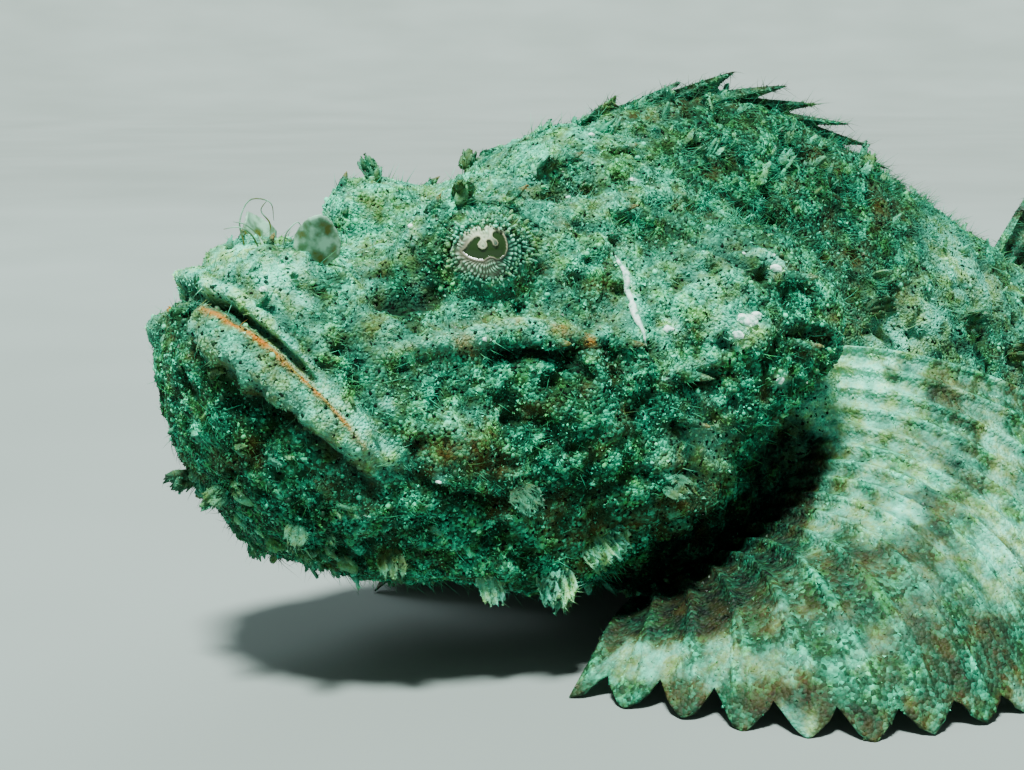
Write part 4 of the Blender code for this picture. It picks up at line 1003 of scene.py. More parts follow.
def fin_sheet(name, lines, ray_size, notch, fork, seed, columns=12, rows=60, ragged=0.03, sag=0.35):
    """A closed fin from the lines of its rays, in straight millimetres."""
    draw = np.random.default_rng(seed)
    rays = len(lines)
    share = np.linspace(0, 1, rows)
    lines = np.stack([path_points(line, rows) for line in lines])
    at = np.linspace(0, rays - 1, (rays - 1) * columns + 1)
    t = at - np.minimum(at.astype(int), rays - 2)
    grid = across_rays(lines, at)
    gap = np.interp(at, range(rays - 1), notch)
    torn = np.interp(at, np.linspace(0, rays - 1, 5 * rays), draw.uniform(0, ragged, 5 * rays))
    cut = np.sin(math.pi * t) ** 1.3 if "spiny" in name else 1 - np.abs(np.cos(math.pi * t))
    reach = 1 - gap * cut - torn * np.sin(math.pi * t)
    tips = np.interp(at, range(rays), 1 - draw.uniform(0, ragged, rays))
    reach = reach * tips
    down = share[None] * reach[:, None]
    for i in range(len(at)):
        grid[i] = np.stack([np.interp(down[i], share, grid[i, :, k]) for k in range(3)], 1)
    step = np.linalg.norm(np.gradient(grid, axis=0), axis=2) * columns  # mm from ray to ray
    size = np.interp(at, range(rays), ray_size)[:, None]
    rib = size + (RAY_TIP - size) * down**1.2
    split = np.clip((down - 0.5) / 0.5, 0, 1) * fork
    wide = 1.15 * rib / np.maximum(step, 0.3)
    ridge = np.zeros_like(down)
    for centre in (split, 1 - split, -split, 1 + split):
        ridge = np.maximum(ridge, np.exp(-((t[:, None] - centre) / wide) ** 2))
    thick = WEB + rib * ridge
    along_sheet, over = np.gradient(grid, axis=1), np.gradient(grid, axis=0)
    normal = np.cross(over, along_sheet)
    normal /= np.linalg.norm(normal, axis=2)[:, :, None] + THINNEST
    for _ in range(6):
        normal[1:-1] = (normal[:-2] + normal[1:-1] + normal[2:]) / 3
    normal /= np.linalg.norm(normal, axis=2)[:, :, None] + THINNEST
    dip = sag * np.sin(math.pi * t)[:, None] * np.sin(math.pi * down) * np.sign(normal[:, :, 2:].mean() + 1e-6)
    grid = grid - normal * dip[:, :, None]
    a, b = grid + normal * thick[:, :, None], grid - normal * thick[:, :, None]
    points = np.concatenate([a.reshape(-1, 3), b.reshape(-1, 3)])
    side_size = len(at) * rows
    i, j = (k.ravel() for k in np.meshgrid(range(len(at) - 1), range(rows - 1), indexing="ij"))
    quads = np.stack([i * rows + j, (i + 1) * rows + j, (i + 1) * rows + j + 1, i * rows + j + 1], 1)
    faces = quads.tolist() + (quads[:, ::-1] + side_size).tolist() + rim_faces(sheet_rim(len(at), rows), side_size)
    obj = mesh_object(name, held(bend(points)), faces)
    outward_faces(obj.data)
    where = np.stack([np.repeat(at, rows), down.ravel(), 0 * down.ravel()], 1)
    keep_field(obj.data, "fin_place", np.concatenate([where, where]))
    keep_field(obj.data, "ray", np.concatenate([ridge.ravel()] * 2))
    return obj


print("a fin's web is", 2 * WEB, "mm thick and a ray", 2 * RAY_TIP, "mm more at its tip")

# %% [markdown]
# The lines of the rays repeat the solids' numbers, so that each sheet lies where its solid does. Colours
# follow the fin: pale and sandy at the root, broken bars across the rays, rust on the ribs and dark
# blotches near the edge.

# %% Lines of the rays
SIDES = {"left": -1, "right": 1}
PECTORAL_ROOT = ((57, 11, 4.8), (64.5, 14, 9.4), (73, 15, 16.5), (79, 16, 27), (80.5, 15.5, 37))
PECTORAL_TIPS = (
    (36.5, 26, -0.2), (41.5, 35, -0.2), (48.5, 46, -0.3), (58, 55, -0.3), (72, 57.5, -0.3), (88, 54, -0.3),
    (103, 46, 1), (115, 37, 9), (121, 28, 21),
)
PELVIC_ROOT = ((58, 10, 3.4), (68, 8, 1.6))
PELVIC_TIPS = ((74, 32, 0.3), (84, 32, 0.2), (92, 27, 0.2), (96, 21, 0.2))
BACK = (
    (-1.6, 41), (-0.8, 45.5), (1.6, 48.4), (7, 51), (14, 51.8), (24, 51.2), (32, 54), (38, 58), (44, 62.6),
    (56, 66.4), (70, 68.8), (84, 66.8), (98, 60.8), (118, 49.8), (140, 38), (158, 29.6), (167, 28), (172, 26.2),
    (175.5, 22.6),
)
SPINE_STATIONS, SPINE_LEAN, SPINE_SINK = (50, 112), ((0, 3, 11), (15, 2, 6)), 1.7
SPINE_LENGTHS = (6.5, 10, 13.5, 15.5, 16, 15.5, 14.5, 13, 11.5, 10, 9, 9.5)
v = np.linspace(0, 1, 13)[:, None]  # the share of each line's length at its points


def on_side(points, side):
    """Points of the right side on the side that is named."""
    return [(a, b * SIDES[side], c) for a, b, c in points]


def straight_rays(roots, tips, bow):
    """Lines from roots to tips, bowed by a vector."""
    return [np.array(r) + (np.array(t) - r) * v + np.array(bow) * 4 * v * (1 - v) for r, t in zip(roots, tips)]


def pectoral_lines(side):
    """Seventeen rays in a fan that arches over the floor."""
    roots, tips = path_points(on_side(PECTORAL_ROOT, side), 17), path_points(on_side(PECTORAL_TIPS, side), 17)
    lines = straight_rays(roots, tips, (0, 0, 0))
    bow = 4 * v[:, 0] * (1 - v[:, 0])
    for k, line in enumerate(lines):
        arch = math.sin(math.pi * k / 16)
        line[:, 2] += bow * (3.5 + 5.5 * arch)
        line[:, 1] += SIDES[side] * bow * (1.5 + 2.5 * arch)
    return lines


def spiny_lines():
    """The spines of the back, each folded back a little more than the one before."""
    lines = []
    for k, length in enumerate(SPINE_LENGTHS):
        s = np.interp(k, (0, 11), SPINE_STATIONS)
        slope = math.atan2(float(along(BACK, s + 2) - along(BACK, s - 2)), 4)
        angle = slope + math.radians(np.interp(k, *SPINE_LEAN))
        root = np.array((s, 0, float(along(BACK, s)))) - SPINE_SINK * np.array((-math.sin(slope), 0, math.cos(slope)))
        ahead = np.array((math.cos(angle) * (length + 4), 0.5 * (-1) ** k, math.sin(angle) * (length + 4)))
        lines.append(root + ahead * v)
    return lines


def soft_lines(first_root, last_root, first_tip, last_tip, rays, arch, lay=0):
    """The rays of a fin in the middle plane, their tips on an arch, laid over by some millimetres."""
    q = np.linspace(0, 1, rays)[:, None]
    roots, tips = (np.array((a[0], 0, a[1])) * (1 - q) + np.array((b[0], 0, b[1])) * q
                   for a, b in ((first_root, last_root), (first_tip, last_tip)))
    tips = tips + np.array(arch) * np.sin(math.pi * q)
    tips[:, 1] += lay * np.sin(math.pi * q[:, 0])
    return straight_rays(roots, tips, (0, lay * 0.2, 0))


def tail_lines():
    """Twelve rays that spread from the tail's end."""
    q = np.linspace(-1, 1, 12)
    roots = [(171, 0, 20 + 6 * k) for k in q]
    reach = 58 * (1 - 0.06 * q * q)
    turn = q * math.radians(20)
    tips = [(158 + r * math.cos(a), 0, 20 + r * math.sin(a)) for r, a in zip(reach, turn)]
    return straight_rays(roots, tips, (0, 0, 0))


FINS = {  # lines, ray sizes, notches, fork, columns, rows
    "dorsal_fin_spiny": (spiny_lines(), [1.1] * 12, [0.36] * 11, 0.0, 12, 40),
    "dorsal_fin_soft": (soft_lines((125, 42), (151, 30.6), (137, 56), (166, 38), 9, (4, 0, 7)), [0.8] * 9,
                        [0.08] * 8, 0.2, 12, 40),
    "anal_fin": (soft_lines((119, 1.6), (143, 9.4), (126, -0.3), (163, 4.5), 8, (2, 0, -1.6), -2), [0.8] * 8,
                 [0.08] * 7, 0.2, 10, 30),
    "tail_fin": (tail_lines(), [0.9] * 12, [0.05] * 11, 0.22, 12, 64),
}
for side_name in SIDES:
    FINS[f"pectoral_fin_{side_name}"] = (
        pectoral_lines(side_name), [0.95 - 0.25 * min(1, k / 8) for k in range(17)],
        [0.13 - 0.09 * min(1, k / 8) for k in range(16)], 0.22, 14, 72)
    roots, tips = (path_points(on_side(p, side_name), 6) for p in (PELVIC_ROOT, PELVIC_TIPS))
    FINS[f"pelvic_fin_{side_name}"] = (
        straight_rays(roots, tips, (0, 0, 0.5)), [1.0, 0.8, 0.8, 0.8, 0.8, 0.7], [0.2, 0.12, 0.1, 0.1, 0.12],
        0.2, 10, 36)
print("rays:", {name: len(fin[0]) for name, fin in FINS.items()})

# %% The fins' material
# Wet fin skin over rays: thin, a little see-through where the light is behind it, with damp gloss on ribs.
fin_skin, tree, shader = material("fin_skin", 0.2)
ray_here = add(tree, "ShaderNodeAttribute", attribute_name="ray").outputs["Fac"]
lift = add(tree, "ShaderNodeMapRange", {"Value": ray_here, "To Min": -0.09, "To Max": 0.05}).outputs["Result"]
place = add(tree, "ShaderNodeTexCoord").outputs["Object"]
# 0.5 mm freckles of sand and pigment
freckle = add(tree, "ShaderNodeTexVoronoi", {"Vector": place, "Scale": 2000.0})
each = add(tree, "ShaderNodeSeparateColor", {"Color": freckle.outputs["Color"]}).outputs[0]
each = add(tree, "ShaderNodeMapRange", {"Value": each, "To Min": -0.17, "To Max": 0.15}).outputs["Result"]
lift = add(tree, "ShaderNodeMath", {0: lift, 1: each}, operation="ADD").outputs[0]
colour, place = markings(tree, lift)
fine = add(tree, "ShaderNodeTexNoise", {"Vector": place, "Scale": 2400.0, "Detail": 4.0}).outputs[0]
rise = add(tree, "ShaderNodeMath", {0: fine, 1: freckle.outputs["Distance"]}, operation="SUBTRACT").outputs[0]
finish(tree, shader, colour, 0.6, rise, 0.8)
print("fin skin:", len(tree.nodes), "nodes")

# %% Make the fins
GLARE_AND_SHADE_PATCHES = (  # pixels, half width in mm and strength of painted sun glare on the pectoral fin; below 0, of painted shade
    ((900, 508), 3.2, 1.0), ((874, 532), 1.8, 0.8), ((1004, 548), 4.0, 1.0), ((992, 580), 3.0, 0.8),
    ((880, 376), 6.0, 1.0), ((900, 410), 3.0, 0.6), ((935, 462), 4.0, 0.6), ((985, 505), 3.0, 0.6),
    ((850, 590), 6.0, -0.85), ((925, 620), 7.0, -0.8), ((1000, 650), 6.0, -0.4), ((760, 640), 5.0, -0.3),
)
MOST_RAYS = 17
fin_objects = {}
for seed, (name, (lines, ray_size, notch, fork, columns, rows)) in enumerate(FINS.items()):
    fin = fin_sheet(f"{name}_skin", lines, ray_size, notch, fork, seed, columns, rows)
    fin.data.materials.append(fin_skin)
    fin.data.shade_smooth()
    count = len(fin.data.vertices)
    where = np.empty(count * 3, np.float32)
    fin.data.attributes["fin_place"].data.foreach_get("vector", where)
    where = where.reshape(-1, 3)
    here = read(fin.data) / MM
    cloud, small = rough(here * (1, 1, 0.5), 5.5, 3, 20 * seed), rough(here, 2.0, 2, 31 * seed)
    ray, out = where[:, 0], where[:, 1]
    bar = np.sin(out * 17 + 1.8 * cloud + ray * 0.35)
    rust = np.clip(0.2 + 0.5 * np.clip(out - 0.6, 0, 1) + 0.7 * cloud + 0.3 * small, 0, 0.6)
    pale = np.clip(0.35 * bar + 0.5 * cloud + 0.35 * small - 0.1, 0, 0.5)
    dark = np.clip(-0.55 * bar + 0.6 * cloud - 0.5 * small + 0.12, 0, 0.85)
    edges = read_field(fin.data, "ray")
    beside_rays = 0.5 * np.exp(-((edges - 0.45) / 0.2) ** 2) * np.clip(out * 3, 0, 1)
    dark = np.maximum(dark, beside_rays)
    if "pectoral" in name:
        low = np.clip((6 - ray) / 5, 0, 1) * np.clip((0.42 - out) / 0.2, 0, 1)  # painted shade deep under the gill cover
        fleshy = np.clip((0.2 - out) / 0.16, 0, 1) * np.clip((ray - 5) / 3, 0, 1)
        pale, dark = np.maximum(pale, 0.7 * fleshy), np.maximum(dark * (1 - 0.8 * fleshy), 1.0 * low)
        shade = hollow_shade_at(unbend(here))
        pale, dark = pale * (1 - shade), np.maximum(dark, shade)
        straight_here = unbend(here) * (1, SIDES[name.rsplit("_", 1)[1]] * -1, 1)
        for (px, py), size, amount in GLARE_AND_SHADE_PATCHES:
            start, line = pixel_ray(px, py)
            away = unbend(np.array(start) / MM + np.outer(np.linspace(200, 300, 51), line))
            nearest = np.linalg.norm(straight_here[:, None] - away[None], axis=2).min(1)
            patch = abs(amount) * np.exp(-(nearest / size) ** 2) * np.clip(0.75 + 0.9 * small, 0, 1)
            # A positive strength paints sun glare, a negative one paints shade.
            if amount > 0:
                pale = np.maximum(pale, patch)
            else:
                pale, dark = pale * (1 - patch), np.maximum(dark, patch)
    elif "dorsal" in name:
        pale, dark, rust = 0.3 * pale, np.maximum(dark, 0.35), 0.6 * rust
    unwrap = np.stack([ray / MOST_RAYS, out, 0 * ray], 1)
    for field, values in {
            "pale": pale, "dark": dark, "rust": rust, "orange": 0 * rust, "relief": 0.5 + 0 * pale, "unwrap": unwrap,
            "grainy": np.clip(0.9 - 0.6 * out + 0.5 * small, 0.15, 1),
            "fuzzy": np.clip(0.3 + 0.5 * cloud + 0.4 * ("dorsal" in name), 0.05, 1)}.items():
        keep_field(fin.data, field, np.clip(values, -1, 1))
    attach(fin, "root")
    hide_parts(name)
    fin_objects[name] = fin
print("fins:", {name: len(fin.data.polygons) for name, fin in fin_objects.items()})

# %% [markdown]
# ## Flaps, spines and wisps
# Fringed flaps of skin hang from the jaw and the cheeks and stand on the brow and the back, and break up
# the outline. Each is a thin leaf with a narrow root, lobes and a ragged edge. The larger ones stand where
# the solids have theirs, and many small ones are strewn between. The head's bony spines are curved cones
# that lean back. All are gathered into a few joined meshes, with the skin's markings taken at their roots.

# %% Gathering small pieces
PATCH = 0.0015  # half width of a small piece's patch of the bake map


def new_soup():
    """An empty mesh in lists, to be filled and then made in one go."""
    return {"points": [], "faces": [], "fields": {}, "size": 0}


def gather(soup, corner, points, faces, patch, **values_of):
    """Adds a small mesh that is rooted at a point of the skin, with its patch of the bake map and its tints."""
    first, home = soup["size"], fields["unwrap"][corner]
    soup["points"].append(points)
    soup["faces"] += [tuple(k + first for k in f) for f in faces]
    soup["size"] += len(points)
    own_place = {"unwrap": np.repeat(home[None], len(points), 0), "uv": home[:2] + PATCH * patch}
    for name, values in {**values_of, **own_place}.items():
        whole = np.full(len(points), values) if np.ndim(values) == 0 else values
        soup["fields"].setdefault(name, []).append(whole)


def soup_object(name, soup, material):
    """The soup as one object with smooth shading, its fields and the map named OFBake."""
    obj = mesh_object(name, held(bend(np.concatenate(soup["points"]))), soup["faces"])
    mesh = obj.data
    for field, values in soup["fields"].items():
        values = np.concatenate(values)
        if field == "uv":
            corner = np.empty(len(mesh.loops), np.int32)
            mesh.loops.foreach_get("vertex_index", corner)
            mesh.uv_layers.new(name="OFBake").data.foreach_set("uv", values[corner].astype(np.float32).ravel())
        else:
            keep_field(mesh, field, values)
    mesh.materials.append(material)
    mesh.shade_smooth()
    outward_faces(mesh)
    return obj


def rooted(near):
    """The skin's nearest point to a straight place: place, outward direction and index."""
    place, direction, face, _ = root_finder.find_nearest(Vector(bend(near)[0]))
    corner = skin.data.polygons[face].vertices[0]
    here, ahead = unbend(np.array([place, place + direction]))
    return here, (ahead - here) / np.linalg.norm(ahead - here), corner


print("the skin nearest to the snout's tip lies at", rooted(np.array((0, 0, 50)))[0].round(1))

# %% Flaps of skin
def flap(soup, root, ahead, facing, length, width, lobes, seed, corner, fine=1.0, fringe=0.16, pale=0.3,
         ragged=1.0, rounded=0.18, dull=0.0):
    """A leaf of skin with lobes, thinner towards its ragged edge."""
    draw = np.random.default_rng(seed)
    ahead = unit(ahead)
    across = unit(np.cross(ahead, facing))
    flat = np.cross(across, ahead)
    columns, rows = int(20 * fine) + 2, int(10 * fine) + 2
    u, v = (a.ravel() for a in np.meshgrid(np.linspace(-1, 1, columns), np.linspace(0, 1, rows), indexing="ij"))
    teeth = np.interp(u, np.linspace(-1, 1, columns), draw.uniform(-0.12, 0.1, columns)) * ragged
    reach = 1 - fringe * (0.5 + 0.5 * np.cos(math.pi * (u + 1) * lobes)) - rounded * u**2 + teeth * v
    ease = np.clip(v / 0.6, 0, 1)
    half = width / 2 * (0.42 + 0.58 * ease * ease * (3 - 2 * ease))
    curl, twist = draw.uniform(0.02, 0.3), draw.uniform(-0.25, 0.25)
    wave = 0.13 * width * np.sin(math.pi * lobes * u + draw.uniform(0, 6)) * v
    off = curl * length * v**2 + wave + twist * u * width * v
    sheet = root + across * (u * half)[:, None] + ahead * (v * reach * length)[:, None] + flat * off[:, None]
    thick = (0.3 * (1 - 0.7 * v) * np.clip(1 - 0.7 * np.abs(u) ** 3, 0.2, 1) + 0.04)[:, None]
    points = np.concatenate([sheet + flat * thick, sheet - flat * thick])
    size = columns * rows
    faces = []
    for i in range(columns - 1):
        for j in range(rows - 1):
            quad = (i * rows + j, (i + 1) * rows + j, (i + 1) * rows + j + 1, i * rows + j + 1)
            faces += [quad, tuple(k + size for k in reversed(quad))]
    faces += rim_faces(sheet_rim(columns, rows), size)
    tip = np.concatenate([v, v])
    patch = np.stack([np.concatenate([u, u]), tip * 2 - 1], 1)
    gather(soup, corner, points, faces, patch, pale=np.clip(pale * tip, 0, 1), rust=0.15 + 0.5 * dull,
           dark=0.6 * (1 - tip) ** 1.5 + dull * tip, relief=0.5 + 0.2 * tip, grainy=0.8, fuzzy=0.25 + 0.75 * tip)


# %% Tassels with frills
TASSELS = (  # about where, direction, length, width, lobes: as on the solids, then finer ones between
    ((30.5, 16.5, 12.5), (0.1, 0.25, -1), 5.0, 3.0, 3), ((19, 15, 15), (-0.2, 0.4, -1), 4.2, 3.0, 3),
    ((9, 12, 18.5), (-0.6, 0.5, -1), 4.0, 2.6, 3), ((2.5, 5, 24.5), (-1, 0.3, -0.7), 3.6, 2.4, 2),
    ((37.5, 17.5, 12.5), (0.1, 0.3, -1), 5.6, 5.0, 4), ((44.5, 20, 14.5), (0.4, 0.5, -0.8), 4.4, 6.4, 6),
    ((30.5, 11.5, 59), (-0.1, 0.4, 1), 3.2, 2.6, 2), ((31.5, 23, 24.5), (0.6, 0.7, -1), 4.0, 3.6, 3),
    ((51, 26, 24), (0.5, 0.9, -0.7), 3.6, 3.4, 3), ((42, 10, 61), (0.3, 0.3, 1), 3.0, 2.4, 2),
    ((90, 20, 42), (0.9, 0.7, 0.5), 4.0, 3.0, 3), ((98, 18, 32), (0.9, 0.8, 0.1), 4.0, 3.0, 3),
    ((108, 14.5, 38), (0.9, 0.8, 0.3), 3.8, 2.8, 3), ((119, 11.5, 32), (0.9, 0.8, 0.2), 3.6, 2.6, 2),
    ((140, 7.5, 27), (0.9, 0.8, 0.3), 3.4, 2.4, 2),
)
LOW_TASSEL, TASSEL_LIFT, SHORTENED = 20, 2.8, 0.85  # mm, mm and share: the lowest hang a little higher up
flaps = new_soup()
draw = random.Random(11)


def stray(most):
    """A small random turn of a direction."""
    return np.array([draw.uniform(-most, most) for _ in range(3)])


for side_sign in (-1, 1):
    for near, ahead, length, width, lobes in TASSELS:
        lifted = (0, 0, TASSEL_LIFT * (near[2] < LOW_TASSEL))
        here, _, corner = rooted((np.array(near) + lifted) * (1, side_sign, 1))
        turned = unit(np.array(ahead) * (1, side_sign, 1)) + stray(0.12)
        facing = np.array((-0.25, side_sign, 0.2))
        length *= SHORTENED
        paleness_and_light = 1.0 if near[2] < LOW_TASSEL and near[0] > 25 else 0.12  # those under the cheek are pale, painted lighter against the shade under the head
        flap(flaps, here - unit(turned) * 1.1, turned, facing, length + 1.0, width, lobes,
             draw.randrange(10**6), corner, pale=0.8 * paleness_and_light, dull=0.45 * (paleness_and_light < 1))
        for _ in range(int(3 * width)):  # frills on both faces of the leaf
            shift = np.cross(unit(turned), facing) * draw.uniform(-0.42, 0.42) * width
            way = unit(turned) + 0.45 * facing * draw.choice((-1, 1)) + stray(0.35)
            reach = draw.uniform(0.3, 0.85) * length
            stem = here + unit(turned) * draw.uniform(-0.4, 0.45) * length + shift * 0.8
            flap(flaps, stem, way, facing, reach, reach * 0.5, 2, draw.randrange(10**6), corner, fine=0.3,
                 fringe=0.4, pale=draw.uniform(0.1, 0.6) * paleness_and_light, dull=0.35 * (paleness_and_light < 1))
print("large flaps:", 2 * len(TASSELS))

# %% Small flaps, most on the jaw's underside, the cheeks' edges, the brows and the back
SMALL_FLAPS = 650
weight = np.clip(fields["fuzzy"], 0, 1) ** 2 * (0.25 + (z < 24) + 0.8 * (z > 56) + 0.5 * (s < 16)) * (z > 2)
picks = np.random.default_rng(5).choice(len(weight), SMALL_FLAPS, replace=False, p=weight / weight.sum())
for corner in picks:
    here = unbend(shaped[corner])[0]
    outward = unit(here - (here[0], 0, 0.55 * here[2] + 12))
    turned = outward + (0.5, 0, -0.35 if here[2] < 40 else 0.25) + stray(0.5)
    facing = np.cross(turned, stray(1))
    length, lobes = 0.8 + 1.7 * draw.random() ** 2, draw.choice((1, 2, 2, 3))
    flap(flaps, here - unit(turned) * 0.5, turned, facing, length + 0.5, length * draw.uniform(0.45, 0.9), lobes,
         draw.randrange(10**6), corner, fine=0.3, fringe=0.4, pale=draw.uniform(0, 0.3))
print("points of all flaps:", flaps["size"])

# %% Spines of the head
HEAD_SPINES = (  # about where, direction and length
    ((9.5, 4.6, 53), (0.2, 0.2, 1), 1.6), ((26, 11, 58), (0.3, 0.3, 1), 2.0), ((37.5, 11.5, 58), (0.8, 0.2, 0.7), 2.6),
    ((46, 9.6, 61.5), (0.9, 0.2, 0.5), 2.6), ((54, 9.8, 63.5), (0.9, 0.2, 0.35), 2.6),
    ((50, 17, 56), (0.9, 0.3, 0.35), 2.4), ((44.5, 25.6, 41.6), (0.9, 0.6, -0.05), 3.0),
    ((36, 23.6, 42), (0.7, 0.8, 0), 2.0), ((52.5, 26.4, 36.5), (0.9, 0.6, -0.1), 3.6),
    ((53, 26.6, 31), (0.9, 0.6, -0.3), 2.8), ((50, 25, 25), (0.7, 0.6, -0.6), 2.4),
    ((68.5, 25.4, 47.4), (0.8, 0.7, 0.1), 3.0), ((68.5, 27, 39.6), (0.8, 0.7, 0), 3.0),
)


def tube(soup, line, radii, corner, sides=8, **tints_of):
    """A closed tube along a line, ending in a point where its radius is 0."""
    line, radii = np.asarray(line, float), np.asarray(radii, float)
    ahead = np.gradient(line, axis=0)
    ahead /= np.linalg.norm(ahead, axis=1)[:, None] + 1e-9
    across = np.cross(ahead, (0.31, 0.23, 0.92))
    across /= np.linalg.norm(across, axis=1)[:, None] + 1e-9
    over = np.cross(ahead, across)
    a = np.linspace(0, math.tau, sides, endpoint=False)
    ring = across[:, None] * np.cos(a)[None, :, None] + over[:, None] * np.sin(a)[None, :, None]
    points = (line[:, None] + ring * radii[:, None, None]).reshape(-1, 3)
    faces = []
    for i in range(len(line) - 1):
        for k in range(sides):
            m = (k + 1) % sides
            faces.append((i * sides + k, i * sides + m, (i + 1) * sides + m, (i + 1) * sides + k))
    faces += [tuple(range(sides))[::-1], tuple(range(len(points) - sides, len(points)))]
    share = np.repeat(np.linspace(0, 1, len(line)), sides)
    patch = np.stack([np.tile(np.cos(a), len(line)), share * 2 - 1], 1)
    gather(soup, corner, points, faces, patch, relief=0.5, grainy=0.3, fuzzy=0.2,
           **{name: values(share) for name, values in tints_of.items()})


spines = new_soup()
for side_sign in (-1, 1):
    for near, ahead, length in HEAD_SPINES:
        here, _, corner = rooted(np.array(near) * (1, side_sign, 1))
        ahead = unit(np.array(ahead) * (1, side_sign, 1))
        q = np.linspace(0, 1, 9)[:, None]
        line = here - ahead * 1.2 + ahead * q * (length + 1.0) + np.array((0.5, 0, -0.15)) * length * 0.3 * q**2
        crust = np.array([noise.noise(Vector(p) / 0.8) for p in line])
        radii = (0.4 + 0.2 * length) * (1 - q[:, 0]) ** 0.7 * (1 + 0.5 * crust) + 0.03
        tube(spines, line, radii, corner, 10, pale=lambda v: 0.15 * v, dark=lambda v: 0.35 * (1 - v),
             rust=lambda v: np.clip(v * 2.2 - 1.3, 0, 0.8), orange=lambda v: np.clip(v * 1.6 - 1.1, 0, 0.22))
print("head spines:", 2 * len(HEAD_SPINES))

# %% [markdown]
# Round each eye stands a fringe of soft papillae, in six uneven rows with gaps, that closes the step from
# the ball to the lid. The fringe is longest in the middle rows and palest in the inner ones, and the papillae
# above the eye are painted paler, as lit from above.

# %% Papillae
PAPILLAE = (  # how many, how far out as a share of the lids' opening, and length in mm
    (46, 0.84, 0.3), (54, 0.92, 0.45), (60, 1.0, 0.7), (52, 1.08, 0.75), (44, 1.2, 0.7), (36, 1.34, 0.6))
MISSING = 0.25  # share of them
papillae = new_soup()
centre, look, right, up = eye_frame()
for side_sign in (-1, 1):
    for row, (count, spread, length) in enumerate(PAPILLAE):
        for k in range(count):
            a = math.tau * (k + draw.uniform(-0.6, 0.6)) / count
            if draw.random() < MISSING:
                continue
            edge = LID_OPENING[0] * right * math.cos(a) + LID_OPENING[1] * up * math.sin(a)
            flat = edge * spread * draw.uniform(0.96, 1.05)
            rise = math.sqrt(max((EYE_RADIUS + 0.3) ** 2 - flat @ flat, 1.0))
            away = unit(flat * 0.9 + look * rise * (0.75 - 0.07 * row)) + stray(0.25)
            root = centre + flat + look * (rise - 0.25)
            grow = length * draw.uniform(0.35, 1.15)
            q = np.linspace(0, 1, 5)[:, None]
            line = (root + away * q * grow + unit(flat) * 0.25 * grow * q**2) * (1, -side_sign, 1)
            radii = 0.21 * draw.uniform(0.55, 1.3) * np.array((1, 0.95, 0.9, 0.85, 0.35))
            corner = rooted(line[0])[2]
            # Paler towards the top of the eye: painted light from above.
            lit = draw.uniform(0.0, 0.9) * (1.1 - 0.15 * row) * (0.75 + 0.35 * math.sin(a))
            tube(papillae, line, radii, corner, 6, pale=lambda v: np.clip(lit * v + 0.1, 0, 1),
                 dark=lambda v: 0.35 * (1 - v), rust=lambda v: 0.12 + 0 * v)
print("points of all papillae:", papillae["size"])

# %% [markdown]
# On the snout, thin wisps of weed wave above the nostril, one of them in a loop, and a rounded flap stands
# on the nostril itself, thin enough to glow greenish yellow.

# %% Wisps and the nostril flap
WISP_POINTS = 22
wisps = new_soup()
WISPS = (  # straight points, thick at the root: first the ones that the photograph shows
    ((9, 2, 51.5), (8.6, 2.4, 54.5), (9.8, 1.6, 57), (11.8, 0.8, 56.6), (12.4, 1.2, 54.4)),
    ((10, 0, 51.5), (8.6, -0.6, 53.4), (7.0, -0.9, 54.2), (5.4, -0.6, 54.0)),
    ((11, 1, 51.5), (10.4, 2, 53), (9.2, 2.4, 54), (7.6, 2, 54.4)),
    ((12, -2, 51.5), (12.6, -2.4, 53.6), (13.8, -2.6, 54.6), (14.6, -2.0, 53.8)),
    ((13, 3, 51.5), (13.2, 3.4, 53.6), (12.2, 3.6, 55.2), (12.9, 3.2, 56.4)),
)
for points in WISPS:
    here, outward, corner = rooted(np.array(points[0], float))
    line = path_points(np.array(points) + (here - points[0]), WISP_POINTS)
    line[0] = here - outward * 0.4
    radii = np.interp(np.linspace(0, 1, WISP_POINTS), (0, 0.8, 1), (0.12, 0.07, 0.03))
    tube(wisps, line, radii, corner, 6, pale=lambda v: 0.45 + 0 * v, dark=lambda v: 0 * v, rust=lambda v: 0 * v)
print("wisps:", len(WISPS))

nostril = new_soup()
for side_sign in (-1, 1):
    here, _, corner = rooted(np.array((13.4, 8.2 * side_sign, 51.4)))
    ahead = unit((-0.05, 0.3 * side_sign, 1))
    facing = np.array((-0.45, 0.85 * side_sign, 0.1))
    flap(nostril, here - ahead * 1.2, ahead, facing, 6.6 - 1.4 * (side_sign > 0), 5.4, 1, 3, corner, fine=1.3,
         fringe=0.0, pale=0.0, ragged=0.15, rounded=0.5)

# %% The flaps' materials, and the pieces made
# Thin skin that light shines through: mottled on flaps, greenish yellow on the nostril.
fringe_skin, tree, shader = material("fringed_skin_flap", 0.15)
colour, place = markings(tree)
fine = add(tree, "ShaderNodeTexNoise", {"Vector": place, "Scale": 2600.0, "Detail": 3.0}).outputs[0]
finish(tree, shader, colour, 0.7, fine)

weed_skin, tree, shader = material("translucent_weedy_skin")
place = add(tree, "ShaderNodeTexCoord").outputs["Object"]
cloud = add(tree, "ShaderNodeTexNoise", {"Vector": place, "Scale": 420.0, "Detail": 4.0}).outputs[0]
colour = add(tree, "ShaderNodeValToRGB", {"Fac": cloud}, stops=(
    (0.4, "#5a6420"), (0.47, "#5c8a66"), (0.6, "#a6dcc0"))).outputs["Color"]
finish(tree, shader, colour, 0.45)
shader.inputs["Transmission Weight"].default_value = 0.25
shader.inputs["IOR"].default_value = 1.36

